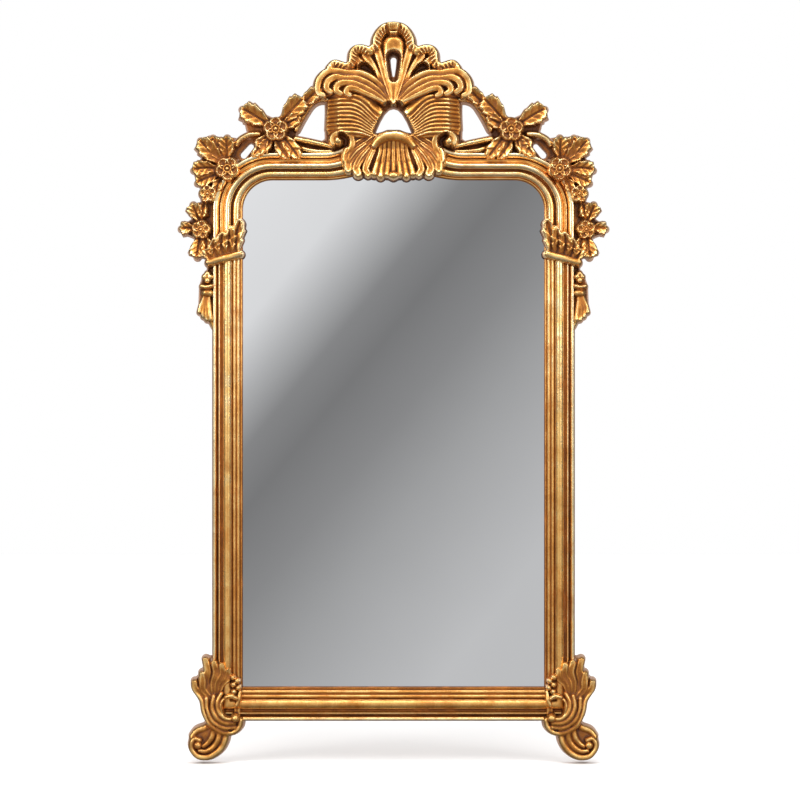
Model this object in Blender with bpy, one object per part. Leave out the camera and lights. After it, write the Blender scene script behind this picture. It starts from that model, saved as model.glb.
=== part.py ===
"""Carved and gilded wall mirror: an arched moulded frame with crest, flower sprays, capitals,
corner scrolls and feet, cast in one piece around a mirror glass and its backing board.

Sizes are in millimetres. The wall plane is y = 0 and the front faces -Y, so a height in a relief
stands off the wall towards -Y. The origin is the hanging point on the back of the top rail.
"""

import math

import bpy
import numpy as np

MM = 0.001

# Mirror opening, measured between the sight edges
SIGHT_WIDTH = 488.0
SIGHT_HEIGHT = 820.0
SIGHT_TOP = -24.0
CORNER_RADIUS = 48.0

# Moulding, widths measured from the sight edge outwards
SIDE_WIDTH = 50.5
TOP_WIDTH = 46.0
BOTTOM_WIDTH = 57.0
TORUS_HEIGHT = 30.0
SIGHT_LIP = 15.0
SWEEP_RISE = 22.0
SWEEP_START = 112.0
SWEEP_RUN = 50.0
CAPITAL_DROP = 110.0

# Rabbet at the back, the glass and the board that lie in it
RABBET_WIDTH = 9.0
GLASS_THICKNESS = 4.0
BOARD_THICKNESS = 3.0
BOARD_SETBACK = 3.4
EDGE_CLEARANCE = 1.0
FACE_GAP = 0.3
GLASS_CHAMFER = 1.0

# Casting
GROUND = 13.0
APRON = 5.0
WALL_SLOPE = 5.0
SIGHT_WALL_SLOPE = 4.0
FORM_WALL_SLOPE = 6.0
RIB_COUNT = 12
GRID_STEP = 1.5
SLIT_FILL = 1.0
WALL_REACH = 14.0
FRAME_TRIANGLES = 9000

# Room round the sight edge that the carving is laid out in
LAYOUT_MARGIN = 300.0

SIGHT_BOTTOM = SIGHT_TOP - SIGHT_HEIGHT
HALF_SIGHT = SIGHT_WIDTH / 2
RABBET_DEPTH = BOARD_SETBACK + BOARD_THICKNESS + GLASS_THICKNESS + 2 * FACE_GAP

# Members of the mouldings from the sight edge outwards: start and end as shares of the width,
# and the heights of foot and crown
SIDE_MEMBERS = (
    (0.00, 0.14, SIGHT_LIP - 1.5, SIGHT_LIP + 2.5),
    (0.16, 0.31, SIGHT_LIP + 1.0, SIGHT_LIP + 5.0),
    (0.33, 0.445, SIGHT_LIP + 3.5, SIGHT_LIP + 8.0),
    (0.455, 0.655, TORUS_HEIGHT - 9.0, TORUS_HEIGHT),
    (0.655, 0.73, TORUS_HEIGHT - 12.0, TORUS_HEIGHT - 14.0),
    (0.73, 0.79, TORUS_HEIGHT - 11.0, TORUS_HEIGHT - 8.5),
    (0.79, 0.84, TORUS_HEIGHT - 11.5, TORUS_HEIGHT - 13.5),
    (0.84, 1.00, TORUS_HEIGHT - 16.0, TORUS_HEIGHT - 8.0),
)
ARCH_MEMBERS = (
    (0.00, 0.11, SIGHT_LIP - 1.5, SIGHT_LIP + 2.5),
    (0.13, 0.32, SIGHT_LIP + 1.0, SIGHT_LIP + 7.0),
    (0.36, 0.60, TORUS_HEIGHT - 9.0, TORUS_HEIGHT),
    (0.62, 0.73, TORUS_HEIGHT - 12.0, TORUS_HEIGHT - 9.5),
    (0.76, 1.00, TORUS_HEIGHT - 14.0, TORUS_HEIGHT - 3.0),
)


def moulding_height(share, members):
    """Height of the moulding's face at a share of its width out from the sight edge."""
    height = SIGHT_LIP - 1 + 4 * share
    for start, end, foot, crown in members:
        across = np.clip(2 * (share - start) / (end - start) - 1, -1, 1)
        member = foot + (crown - foot) * np.sqrt(1 - across**2)
        height = np.where((share >= start) & (share <= end), member, height)
    return height


def ramp(value, start, end):
    """0 at start, 1 at end, with eased ends."""
    share = np.clip((value - start) / (end - start), 0, 1)
    return share * share * (3 - 2 * share)


def curve_through(points, spacing=2.0):
    """A smooth curve through the points, as evenly spread points."""
    knots = np.array(points, float)
    ends = np.vstack([2 * knots[0] - knots[1], knots, 2 * knots[-1] - knots[-2]])
    pieces = []
    for i in range(1, len(ends) - 2):
        p0, p1, p2, p3 = ends[i - 1 : i + 3]
        count = max(2, int(np.hypot(*(p2 - p1)) / spacing) + 1)
        t = np.linspace(0, 1, count, endpoint=False)[:, None]
        pieces.append(0.5 * (2 * p1 + (p2 - p0) * t + (2 * p0 - 5 * p1 + 4 * p2 - p3) * t**2
                             + (3 * p1 - p0 - 3 * p2 + p3) * t**3))
    return np.vstack(pieces + [knots[-1:]])


def measure_along(route, x, z):
    """Share of the route's length, signed side distance and plain distance of each grid point."""
    nearest = np.full(x.shape, 1e9)
    side = np.zeros(x.shape)
    run = np.zeros(x.shape)
    length = 0.0
    for start, end in zip(route[:-1], route[1:]):
        step = end - start
        size = np.hypot(*step)
        dx = x - start[0]
        dz = z - start[1]
        t = np.clip((dx * step[0] + dz * step[1]) / size**2, 0, 1)
        away = np.hypot(dx - t * step[0], dz - t * step[1])
        closer = away < nearest
        cross = np.sign(step[0] * dz - step[1] * dx)
        nearest = np.where(closer, away, nearest)
        side = np.where(closer, cross * away, side)
        run = np.where(closer, length + t * size, run)
        length += size
    return run / length, side, nearest, length


def inside_polygon(points, x, z):
    """Signed distance to a closed outline, positive inside."""
    corners = np.array(points, float)
    nearest = np.full(x.shape, 1e9)
    odd = np.zeros(x.shape, bool)
    for start, end in zip(corners, np.roll(corners, -1, axis=0)):
        step = end - start
        dx = x - start[0]
        dz = z - start[1]
        t = np.clip((dx * step[0] + dz * step[1]) / (step @ step), 0, 1)
        nearest = np.minimum(nearest, np.hypot(dx - t * step[0], dz - t * step[1]))
        crosses = (start[1] > z) != (end[1] > z)
        rise = np.where(step[1] == 0, 1e-9, step[1])
        odd ^= crosses & (x < start[0] + (z - start[1]) * step[0] / rise)
    return np.where(odd, nearest, -nearest)


class Relief:
    """Height of the casting over a grid on the wall, and how far each point is inside its outline."""

    def __init__(self, low, high, step):
        self.step = step
        self.xs = np.arange(low[0], high[0] + step / 2, step)
        self.zs = np.arange(low[1], high[1] + step / 2, step)
        self.x, self.z = np.meshgrid(self.xs, self.zs)
        self.inside = np.full(self.x.shape, -99.0)
        self.height = np.zeros(self.x.shape)
        self.move(0, 0)

    def move(self, x, z):
        """Sets the anchor that the next forms are measured from."""
        self.anchor = np.array((x, z), float)

    def window(self, points, reach):
        """The part of the grid that a form reaching this far from its points can touch, and the
        places of its grid points measured from the anchor."""
        low = self.anchor + np.min(points, axis=0) - reach - WALL_REACH
        high = self.anchor + np.max(points, axis=0) + reach + WALL_REACH
        columns = slice(*np.searchsorted(self.xs, (low[0], high[0])))
        rows = slice(*np.searchsorted(self.zs, (low[1], high[1])))
        area = rows, columns
        return area, self.x[area] - self.anchor[0], self.z[area] - self.anchor[1]

    def lay(self, area, inside, top, apron=APRON):
        """Lays a form over the relief, with a steep wall round it and an apron of ground."""
        raised = top + FORM_WALL_SLOPE * np.minimum(inside, 0)
        self.height[area] = np.maximum(self.height[area], raised)
        self.inside[area] = np.maximum(self.inside[area], inside + apron)

    def pierce(self, area, inside):
        self.inside[area] = np.minimum(self.inside[area], -inside)

    def sink(self, area, inside, floor):
        """Sinks a pocket with steep walls into what has been laid."""
        pocket = floor - FORM_WALL_SLOPE * np.minimum(inside, 0)
        self.height[area] = np.minimum(self.height[area], pocket)

    def plate(self, outline, top, apron=0.0):
        """A flat plate of the outline's shape."""
        area, x, z = self.window(outline, apron)
        self.lay(area, inside_polygon(outline, x, z), top, apron)

    def roll(self, points, widths, tops, hollow=0.0, notch=0.0, pitch=5.0, apron=APRON):
        """A round band along a route, with half widths and crown heights given along it. A hollow
        makes it a channel, and a notch cuts it across at the pitch, like a rope's strands."""
        route = curve_through(points)
        area, x, z = self.window(route, max(widths) + apron)
        share, side, away, length = measure_along(route, x, z)
        half = np.interp(share, np.linspace(0, 1, len(widths)), widths)
        crown = np.interp(share, np.linspace(0, 1, len(tops)), tops)
        across = np.clip(away / half, 0, 1)
        top = crown - 0.9 * half * (1 - np.sqrt(1 - across**2))
        top -= hollow * (1 - ramp(across, 0.25, 0.8))
        top -= notch * np.abs(np.cos(math.pi * (share * length + 0.5 * side) / pitch)) ** 3
        self.lay(area, half - away, top, apron)

    def ball(self, centre, radius, top, flat=1.0, apron=APRON):
        """A round boss. A flat under 1 squashes it from top to bottom."""
        area, x, z = self.window([centre], radius + apron)
        away = np.hypot(x - centre[0], (z - centre[1]) / flat)
        across = np.clip(away / radius, 0, 1)
        self.lay(area, radius - away, top - 0.8 * radius * (1 - np.sqrt(1 - across**2)), apron)

    def leaf(self, points, width, tops, lobes=3, depth=0.4, slant=0.8, cup=2.0, apron=APRON):
        """A lobed leaf along its midrib, with a vein to each lobe and its edges turned up."""
        route = curve_through(points)
        area, x, z = self.window(route, width + apron)
        share, side, away, length = measure_along(route, x, z)
        slanted = np.clip(share - slant * np.abs(side) / length, 0, 1)
        finger = np.abs(np.sin(math.pi * lobes * slanted))
        belly = np.sin(math.pi * np.clip(slanted, 0.04, 1) ** 0.75) ** 0.8
        half = width / 2 * belly * (1 - depth + depth * finger**0.6)
        inside = np.where((share > 0) & (share < 1), half - np.abs(side), half * 0.5 - away)
        across = np.clip(np.abs(side) / np.maximum(half, 0.5), 0, 1)
        top = np.interp(share, np.linspace(0, 1, len(tops)), tops)
        top += cup * across**2 + 2.2 * finger * np.sqrt(across) * (1 - 0.5 * across)
        top -= 2.0 * np.exp(-((side / 1.6) ** 2))
        top -= 1.5 * ramp(across, 0.8, 1.0)
        self.lay(area, inside, top, apron)

    def flower(self, centre, radius, top, turn=0.0, petals=5, apron=APRON):
        """A rosette of dished petals round a boss."""
        area, x, z = self.window([centre], 1.1 * radius + apron)
        dx = x - centre[0]
        dz = z - centre[1]
        for k in range(petals):
            angle = turn + 2 * math.pi * k / petals
            away = np.hypot(dx - 0.55 * radius * math.cos(angle), dz - 0.55 * radius * math.sin(angle))
            across = np.clip(away / (0.48 * radius), 0, 1)
            dish = 0.3 * radius * (across**2 - ramp(across, 0.75, 1.15) * 1.1)
            self.lay(area, 0.48 * radius - away, top - 3 + dish - 0.3 * (k % 2), apron)
        away = np.hypot(dx, dz)
        pit = ramp(away, 0.45 * radius, 0.2 * radius)
        self.height[area] -= 3.5 * pit
        across = np.clip(away / (0.27 * radius), 0, 1)
        boss = top - 1 - 0.25 * radius * (1 - np.sqrt(1 - across**2))
        self.lay(area, 0.27 * radius - away, boss, 0)

    def drafted(self):
        """Height with the casting's outer walls drafted down to the wall plane at its outline."""
        ground = np.where(self.inside > 0, np.maximum(self.height, GROUND), 0)
        return np.clip(np.minimum(ground, self.inside * WALL_SLOPE), 0, None)


def lay_moulding(relief):
    """The moulded ring round the glass: square below, rounded at the top corners, swept up at
    the crest, as a section run along the sight edge."""
    x = relief.x
    z = relief.z
    centre_x = HALF_SIGHT - CORNER_RADIUS
    centre_z = SIGHT_TOP - CORNER_RADIUS
    sweep = SWEEP_RISE * np.clip((SWEEP_START - x) / SWEEP_RUN, 0, 1) ** 2
    rough = np.clip((z - SIGHT_TOP) / TOP_WIDTH, 0, 1)
    above = z - SIGHT_TOP - sweep * (0.3 + 0.7 * rough)
    beside = x - HALF_SIGHT
    below = SIGHT_BOTTOM - z
    turned = ramp(np.arctan2(z - centre_z, np.maximum(x - centre_x, 1e-6)), 0, math.pi / 2)
    corner_width = SIDE_WIDTH + (TOP_WIDTH - SIDE_WIDTH) * turned
    round_corner = np.hypot(x - centre_x, z - centre_z) - CORNER_RADIUS
    at_corner = (x > centre_x) & (z > centre_z)
    share = np.maximum(beside / SIDE_WIDTH, below / BOTTOM_WIDTH)
    share = np.where(z > centre_z, above / TOP_WIDTH, share)
    share = np.where(at_corner, round_corner / corner_width, share)
    width = np.where(at_corner, corner_width, np.where(z > centre_z, TOP_WIDTH, SIDE_WIDTH))
    inside = np.minimum(share * SIGHT_WALL_SLOPE, 1 - share) * width
    arched = z > SIGHT_TOP - CAPITAL_DROP
    share = np.clip(share, 0, 1)
    height = np.where(arched, moulding_height(share, ARCH_MEMBERS), moulding_height(share, SIDE_MEMBERS))
    relief.height = np.where(inside > 0, np.maximum(relief.height, height), relief.height)
    relief.inside = np.maximum(relief.inside, inside)


def lay_rim(relief):
    """The stepped rope border of the crest, three lobes a side, with a small fan on top."""
    relief.roll([(-6, 245), (0, 246), (12, 245), (22, 240), (29, 229), (31, 217), (41, 208)],
                (6, 6.5, 6.5, 6, 6), (36, 36, 35, 34), notch=1.6)
    relief.roll([(41, 207), (48, 210), (58, 211), (66, 204), (67, 194), (69, 185), (76, 182)],
                (5.5, 6, 6, 5.5), (34, 35, 33), notch=1.6)
    relief.roll([(76, 182), (84, 186), (93, 189), (102, 184)], (5.5, 6, 6.5), (33, 34, 35), notch=1.6)
    relief.ball((102, 182), 6.5, 35)
    for k in range(3):
        lean = 0.28 * k
        tip = (20 * math.sin(lean), 234 + 16 * math.cos(lean))
        relief.roll([(1.5 * k, 235), tip], (1.2, 2.6), (37, 40))


def lay_palmette(relief):
    """Fan of petals in the middle of the crest, round the pierced keyhole."""
    relief.plate([(-5, 122), (6, 122), (30, 140), (54, 172), (54, 190), (36, 197), (25, 204), (22, 224),
                  (-5, 224)], 27)
    relief.roll([(0, 124), (0, 154), (0, 184), (0, 202), (0, 212)], (3.5, 8, 14, 19, 19),
                (41, 39, 37, 35, 34), hollow=4)
    relief.roll([(4, 128), (11, 148), (20, 172), (29, 192)], (2.5, 4, 6, 8), (40, 37, 34, 33), hollow=2.5)
    relief.roll([(7, 128), (22, 146), (36, 158), (47, 171), (52, 186)], (2.5, 4.0, 4.5, 4.5, 5),
                (40, 37, 35, 33), hollow=1.5)
    pocket = [(45, 179), (31, 157)]
    area, x, z = relief.window(pocket, 5.5)
    share, _, away, _ = measure_along(np.array(pocket), x, z)
    relief.sink(area, 5.5 - 2.0 * share - away, 7)


def lay_wave_leaves(relief):
    """Fluted acanthus that rolls up from the centre and over the ribbed shoulders."""
    flutes = (
        ([(8, 128), (18, 146), (34, 161), (58, 171), (85, 172), (104, 165), (115, 151), (120, 135)], 42),
        ([(11, 128), (23, 143), (40, 154), (60, 162), (84, 163), (100, 156), (108, 143), (111, 132)], 41),
        ([(13, 127), (28, 140), (44, 148), (62, 153), (80, 154), (94, 150), (100, 141), (95, 134)], 43),
        ([(15, 126), (30, 135), (46, 141), (62, 145), (76, 146), (85, 142), (83, 135)], 44),
        ([(18, 124), (34, 130), (48, 134), (58, 134), (61, 128)], 43),
    )
    for route, top in flutes:
        relief.roll(route, (2, 4.5, 5.2, 5.2, 4.2), (top - 4, top, top, top - 5))


def lay_shoulder(relief):
    """Ribbed shoulder of the crest: nested ribs that bend down to the opening in the middle."""
    outline = [(15, 108), (20, 116), (30, 125), (46, 133), (72, 136), (98, 136), (107, 128),
               (109, 104), (110, 82), (106, 70), (70, 68), (36, 67), (28, 80)]
    area, x, z = relief.window(outline, APRON)
    upper = 136 - 15 * np.clip((76 - x) / 58, 0, 1) ** 2.6
    lower = 72 - 6 * ramp(x, 60, 25)
    fall = np.clip((upper - z) / (upper - lower), 0, 1)
    bunch = 0.42 + 0.58 * ramp(x, 22, 72)
    rib = fall ** (1 / bunch) * RIB_COUNT
    round_rib = np.sqrt(1 - (2 * (rib % 1) - 1) ** 2)
    barrel = 24 + 14 * ramp(x, 12, 52) - 20 * ramp(x, 84, 112)
    relief.lay(area, inside_polygon(outline, x, z), barrel + 3.0 * round_rib)


def lay_shell(relief):
    """Fluted shell below the opening, over the middle of the top rail, with leaves at its sides."""
    flutes = (
        ([(32, 60), (44, 57), (56, 53), (66, 50)], (3.0, 4.0, 5.0), 37, 1.0),
        ([(29, 62), (43, 50), (60, 38), (76, 29)], (3.2, 5.0, 7.0), 39, 2.0),
        ([(25, 65), (37, 43), (55, 27), (74, 15)], (3.2, 5.0, 7.0), 40, 2.0),
        ([(19, 68), (26, 46), (38, 21), (50, 9)], (3.2, 4.5, 6.5), 42, 1.5),
        ([(14, 71), (18, 44), (23, 22), (28, 11)], (2.8, 3.4, 4.6), 43, 0.5),
        ([(9, 73), (12, 44), (14, 19), (17, 6)], (2.6, 3.0, 4.0), 45, 0.5),
        ([(5, 73), (6.5, 44), (8, 19), (9, 7)], (2.6, 3.0, 3.6), 45, 0.0),
        ([(0, 74), (0, 44), (0, 5)], (3.0, 3.2, 4.0), 46, 0.0),
    )
    for route, widths, top, hollow in flutes:
        relief.roll(route, widths, (top - 2, top - 5, top - 5, top), hollow=hollow, apron=4)
    relief.roll([(-12, 69), (0, 70), (12, 68), (24, 62)], (9, 9, 7), (47, 46, 42))
    relief.ball((0, 4), 9, 50, flat=0.6, apron=3)


def lay_volute(relief):
    """Scroll that ends the top rail beside the shell."""
    relief.roll([(82, 22), (78, 34), (72, 46), (67, 58), (70, 68), (80, 74), (91, 72), (97, 65)],
                (5.5, 5, 4.5, 4, 3.5), (36, 38, 40, 40), hollow=1.5)
    relief.ball((91, 63), 6.5, 41)


def lay_straps(relief):
    """Thin bar between the top rail's scroll and the large flower."""
    relief.roll([(103, 53), (120, 58), (137, 62), (156, 66)], (2.5, 3.2, 3.4), (24, 28, 27))


def lay_bar(relief):
    """Thin bar between the flower sprays."""
    relief.roll([(10, 57), (4, 65), (-4, 70), (-13, 73), (-26, 74)], (3.2, 3.4, 3.2), (26, 28, 26))


def lay_main_spray(relief):
    """Large flower with its leaves, between the crest and the corner."""
    relief.plate([(2, 114), (-22, 114), (-52, 101), (-64, 108), (-94, 136), (-132, 156), (-140, 136),
                  (-116, 116), (-92, 84), (-86, 64), (-44, 36), (-18, 42), (-8, 72), (-4, 84)], GROUND)
    relief.leaf([(-44, 86), (-22, 100), (-1, 115)], 33, (24, 29, 33), lobes=3)
    relief.leaf([(-60, 92), (-76, 110), (-96, 125), (-117, 140)], 32, (25, 30, 34, 36), lobes=4, depth=0.5)
    relief.leaf([(-61, 84), (-76, 90), (-91, 101)], 20, (24, 28, 31), lobes=2)
    relief.leaf([(-62, 74), (-76, 56), (-90, 37)], 22, (25, 29, 32), lobes=3)
    relief.leaf([(-55, 70), (-58, 56), (-68, 40)], 20, (24, 27, 30), lobes=2)
    relief.leaf([(-48, 70), (-40, 56), (-32, 45)], 20, (24, 27, 30), lobes=2)
    relief.leaf([(-44, 74), (-30, 58), (-18, 40)], 22, (25, 29, 32), lobes=3)
    relief.flower((-54, 81), 20, 38, turn=0.3)


def lay_corner_spray(relief):
    """Flowers and leaves round the top corner and down the outside of the arch."""
    relief.plate([(26, 70), (38, 66), (52, 67), (67, 67), (72, 60), (68, 38), (72, 24), (80, 20),
                  (80, 12), (72, -2), (67, -14), (67, -28), (72, -36), (84, -40), (86, -65),
                  (98, -71), (100, -80), (91, -91), (80, -95), (81, -119), (70, -126), (52, -128),
                  (36, -36), (6, 4), (6, 34)], GROUND)
    relief.leaf([(32, 26), (49, 44), (67, 62)], 34, (24, 30, 34), lobes=3)
    relief.leaf([(26, 32), (24, 49), (25, 67)], 24, (24, 29, 34), lobes=3)
    relief.leaf([(40, 18), (60, 18), (78, 15)], 24, (24, 28, 31), lobes=3)
    relief.leaf([(35, 6), (48, -1), (64, -6)], 18, (24, 27, 29), lobes=2)
    relief.flower((24, 17), 20, 38, turn=0.9)
    relief.flower((56, -23), 14.5, 34, turn=0.2)
    relief.leaf([(58, -36), (61, -46), (63, -56)], 13, (22, 26, 28), lobes=2)
    relief.leaf([(68, -70), (73, -58), (78, -43)], 24, (23, 27, 29), lobes=3)
    relief.leaf([(76, -80), (87, -78), (97, -79)], 19, (23, 27, 28), lobes=2)
    relief.leaf([(68, -90), (71, -106), (73, -123)], 26, (24, 28, 30), lobes=3)
    relief.flower((66, -80), 14.5, 35, turn=0.5)
    relief.ball((54, -106), 5, 32)


def lay_capital(relief):
    """Crown of leaves over a slanted band, where the arch meets the side moulding."""
    foot = np.array((8, -122))
    run = np.array((47.0, -14.0))
    tips = ((7, -70), (13, -80), (21, -87), (31, -97), (42, -103), (53, -112))
    for k, tip in enumerate(tips):
        base = foot + run * (k + 0.4) / len(tips)
        middle = (base + np.array(tip)) / 2
        relief.leaf([base, middle, tip], 16, (31, 34, 38), lobes=3, depth=0.25, cup=1.0, apron=1)
    relief.roll([foot + (-3, 1), foot + run / 2, foot + run], (4.2, 4.6, 4.2), (37, 38, 36), apron=1)


def lay_drop(relief):
    """Husk that hangs below the capital on the outside of the side moulding."""
    relief.plate([(11.5, -130), (8.5, -144), (16.5, -157), (21.5, -171), (22.5, -200), (20.5, -209),
                  (7.5, -225), (-4.5, -238), (-9.5, -130)], GROUND)
    relief.ball((5.5, -159), 7, 28, apron=2)
    relief.ball((6.5, -180), 9.5, 27, flat=0.8, apron=2)
    relief.roll([(-0.5, -171), (7.5, -172), (16.5, -171)], (2.4, 2.8, 2.4), (29, 30, 29), apron=2)
    relief.leaf([(7.5, -186), (12.5, -197), (19.5, -209)], 13, (23, 27, 28), lobes=2, apron=2)
    relief.leaf([(5.5, -186), (7.5, -198), (9.5, -214)], 13, (23, 27, 28), lobes=2, apron=2)
    relief.leaf([(9.5, -206), (4.5, -218), (-0.5, -230)], 12, (25, 26, 22), lobes=2, apron=2)


def lay_corner_scroll(relief):
    """Palmette and nested C scroll over the bottom corner, measured from the sight corner."""
    relief.plate([(50, 48), (59, 48), (63, 36), (62, 18), (80, 8), (83, -4), (76, -18), (60, -40),
                  (30, -20)], GROUND)
    relief.plate([(3, -66), (2, -8), (10, 8), (24, 26), (56, 30), (66, 8), (72, -8), (62, -30), (52, -54),
                  (34, -68)], 28)
    eye = (22, -33)
    area, x, z = relief.window([eye], 9)
    relief.sink(area, 9 - np.hypot(x - eye[0], z - eye[1]), 13)
    lobes = (((56, 36), 7), ((63, 12), 7), ((71, -2), 6.5), ((44, 35), 5.5), ((32, 31), 5.5), ((20, 24), 6),
             ((10, 10), 5))
    base = np.array((40.0, -10.0))
    for tip, half in lobes:
        middle = (base * 0.45 + np.array(tip) * 0.55) + (0, 2)
        relief.roll([base, middle, tip], (2.5, half * 0.7, half), (30, 34, 34), hollow=2.0)
    scrolls = (
        ([(75, -8), (65, -21), (60, -43), (49, -63), (32, -73), (15, -72), (4, -62), (4, -53)], 3.6, 34),
        ([(52, -20), (51, -43), (40, -58), (25, -66), (11, -62)], 3.6, 36),
        ([(28, -9), (41, -19), (43, -35), (38, -50), (27, -57), (16, -57)], 3.4, 37),
        ([(11, -18), (24, -16), (32, -26), (32, -37), (25, -47), (16, -52)], 3.6, 38),
        ([(6, -11), (5, -21), (9, -30)], 3.0, 36),
    )
    for route, half, top in scrolls:
        relief.roll(route, (half * 0.8, half, half * 1.1), (top - 4, top, top - 1), apron=4)
    relief.ball((11, -50), 6.5, 40, apron=4)
    for centre in ((14, 16), (8, 9), (16, 1), (7, -2)):
        relief.ball(centre, 4, 37, apron=3)


def lay_foot(relief):
    """Scrolled foot below the corner, measured from the sight corner."""
    relief.plate([(30, -66), (60, -58), (74, -66), (83, -72), (87, -86), (86, -103), (78, -113), (60, -115),
                  (40, -106)], GROUND, 1.0)
    relief.roll([(31, -72), (31, -86), (35, -97), (48, -109), (66, -113), (78, -107), (82, -96), (77, -86),
                 (69, -87)], (4, 4, 3.8, 3.4, 3), (30, 31, 32, 32), apron=4)
    relief.roll([(46, -70), (48, -84), (56, -94), (64, -103)], (3, 3.2, 3), (28, 30, 29), apron=4)
    relief.roll([(39, -72), (42, -88), (54, -100), (68, -104)], (7, 8, 6, 4), (25, 27, 27), apron=4)
    relief.leaf([(47, -62), (56, -72), (66, -84)], 22, (24, 27, 29), lobes=2)
    relief.roll([(60, -66), (72, -74), (78, -88)], (6, 8, 6), (20, 24, 22), apron=6)
    relief.ball((70, -96), 7.5, 36, apron=4)


def lay_crest_ground(relief):
    """Ground of the crest behind its forms, out to the side openings."""
    relief.plate([(-20, 240), (20, 240), (30, 216), (44, 208), (66, 202), (72, 184), (100, 182), (118, 164),
                  (150, 124), (160, 54), (-20, 34)], GROUND)


def pierce_spray(relief):
    """Oval opening between the flower sprays, under the bar."""
    oval = np.array([(-13, 54), (-1, 41)])
    area, x, z = relief.window(oval, 6.5)
    _, _, away, _ = measure_along(oval, x, z)
    relief.pierce(area, 6.5 - away)


def pierce_crest(relief):
    """The keyhole, and the openings below and beside the shoulders."""
    middle = [(-1, 115), (5, 113), (16, 96), (29, 75), (20, 77), (8, 81), (-8, 81), (-29, 75), (-10, 108)]
    beside = [(107, 119), (119, 121), (132, 104), (146, 78), (140, 69), (120, 63), (114, 76), (112, 96)]
    for outline in (middle, beside):
        area, x, z = relief.window(outline, 1)
        relief.pierce(area, inside_polygon(outline, x, z) + 1)
    keyhole = np.array([(0, 197), (0, 164)])
    area, x, z = relief.window(keyhole, 6.5)
    share, _, away, _ = measure_along(keyhole, x, z)
    relief.pierce(area, 6.5 - 4.5 * share - away)


def clear_sight(relief):
    """Keeps the carving at the sides off the glass, below the arch."""
    beside = (relief.z > SIGHT_BOTTOM) & (relief.z < SIGHT_TOP - CORNER_RADIUS)
    relief.inside[beside] = np.minimum(relief.inside, relief.x - HALF_SIGHT)[beside]


def carve_frame():
    """The right half of the frame as a relief."""
    low = (0, SIGHT_BOTTOM - LAYOUT_MARGIN)
    high = (HALF_SIGHT + LAYOUT_MARGIN, SIGHT_TOP + LAYOUT_MARGIN)
    relief = Relief(low, high, GRID_STEP)
    lay_moulding(relief)
    relief.move(0, SIGHT_TOP)
    for lay in (lay_crest_ground, lay_straps, lay_rim, lay_palmette, lay_shoulder, lay_wave_leaves,
                lay_shell, lay_volute):
        lay(relief)
    pierce_crest(relief)
    relief.move(HALF_SIGHT, SIGHT_TOP)
    for lay in (lay_bar, lay_main_spray, lay_corner_spray, lay_capital):
        lay(relief)
    pierce_spray(relief)
    relief.move(HALF_SIGHT + SIDE_WIDTH, SIGHT_TOP)
    lay_drop(relief)
    relief.move(HALF_SIGHT, SIGHT_BOTTOM)
    lay_foot(relief)
    lay_corner_scroll(relief)
    clear_sight(relief)
    return relief


def soften(field):
    """Rounds off notches in an outline that are finer than a casting holds."""
    field = np.maximum(field, -WALL_REACH)
    for axis in (0, 1, 0, 1):
        field = (np.roll(field, 1, axis) + 2 * field + np.roll(field, -1, axis)) / 4
    return field


def mirror_halves(field):
    return np.concatenate([field[:, :0:-1], field], axis=1)


def front_faces(inside):
    """Triangles of the grid cells that reach inside the outline."""
    index = np.arange(inside.size).reshape(inside.shape)
    a = index[:-1, :-1].ravel()
    b = index[:-1, 1:].ravel()
    c = index[1:, 1:].ravel()
    d = index[1:, :-1].ravel()
    within = inside.ravel() > 0
    rising = within[a].astype(int) + within[c] >= within[b].astype(int) + within[d]
    one_way = np.stack([a, b, c, a, c, d], axis=1).reshape(-1, 2, 3)
    other_way = np.stack([a, b, d, b, c, d], axis=1).reshape(-1, 2, 3)
    faces = np.where(rising[:, None, None], one_way, other_way).reshape(-1, 3)
    return faces[within[faces].any(axis=1)]


def close_slits(inside):
    """Fills slits a single grid point wide, where front and back would share an edge, and points
    where two parts of the outline would touch."""
    while True:
        faces = front_faces(inside)
        edges = np.sort(np.concatenate([faces[:, [0, 1]], faces[:, [1, 2]], faces[:, [2, 0]]]), axis=1)
        edges, count = np.unique(edges, axis=0, return_counts=True)
        outside = inside.ravel() <= 0
        slits = edges[(count == 2) & outside[edges].all(axis=1)].ravel()
        rim, uses = np.unique(edges[count == 1], return_counts=True)
        narrow = np.union1d(slits, rim[uses > 2])
        if not len(narrow):
            return faces
        inside.ravel()[narrow] = SLIT_FILL


def relief_mesh(name, relief):
    """Closed mesh of a half relief and its mirror image, flat at the back."""
    relief.inside = soften(mirror_halves(relief.inside))
    relief.height = mirror_halves(relief.height)
    x = np.concatenate([-relief.x[:, :0:-1], relief.x], axis=1)
    z = mirror_halves(relief.z)
    faces = close_slits(relief.inside)
    inside = relief.inside
    height = relief.drafted().ravel()
    slope_z, slope_x = np.gradient(inside, relief.step)
    steep = np.maximum(slope_x**2 + slope_z**2, 0.2)
    outside = inside <= 0
    reach = 1.2 * relief.step
    x = np.where(outside, x - np.clip(inside * slope_x / steep, -reach, reach), x)
    z = np.where(outside, z - np.clip(inside * slope_z / steep, -reach, reach), z)
    used, faces = np.unique(faces, return_inverse=True)
    faces = faces.reshape(-1, 3)
    rim = outside.ravel()[used]
    front = np.stack([x.ravel()[used], np.where(rim, 0, -height[used]), z.ravel()[used]], axis=1)
    back_index = np.arange(len(used))
    back_index[~rim] = len(used) + np.arange((~rim).sum())
    back = front[~rim] * (1, 0, 1)
    points = np.vstack([front, back]) * MM
    turned = back_index[faces][:, ::-1]
    mesh = bpy.data.meshes.new(name)
    mesh.from_pydata(points.tolist(), [], np.vstack([faces, turned]).tolist())
    return mesh


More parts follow.
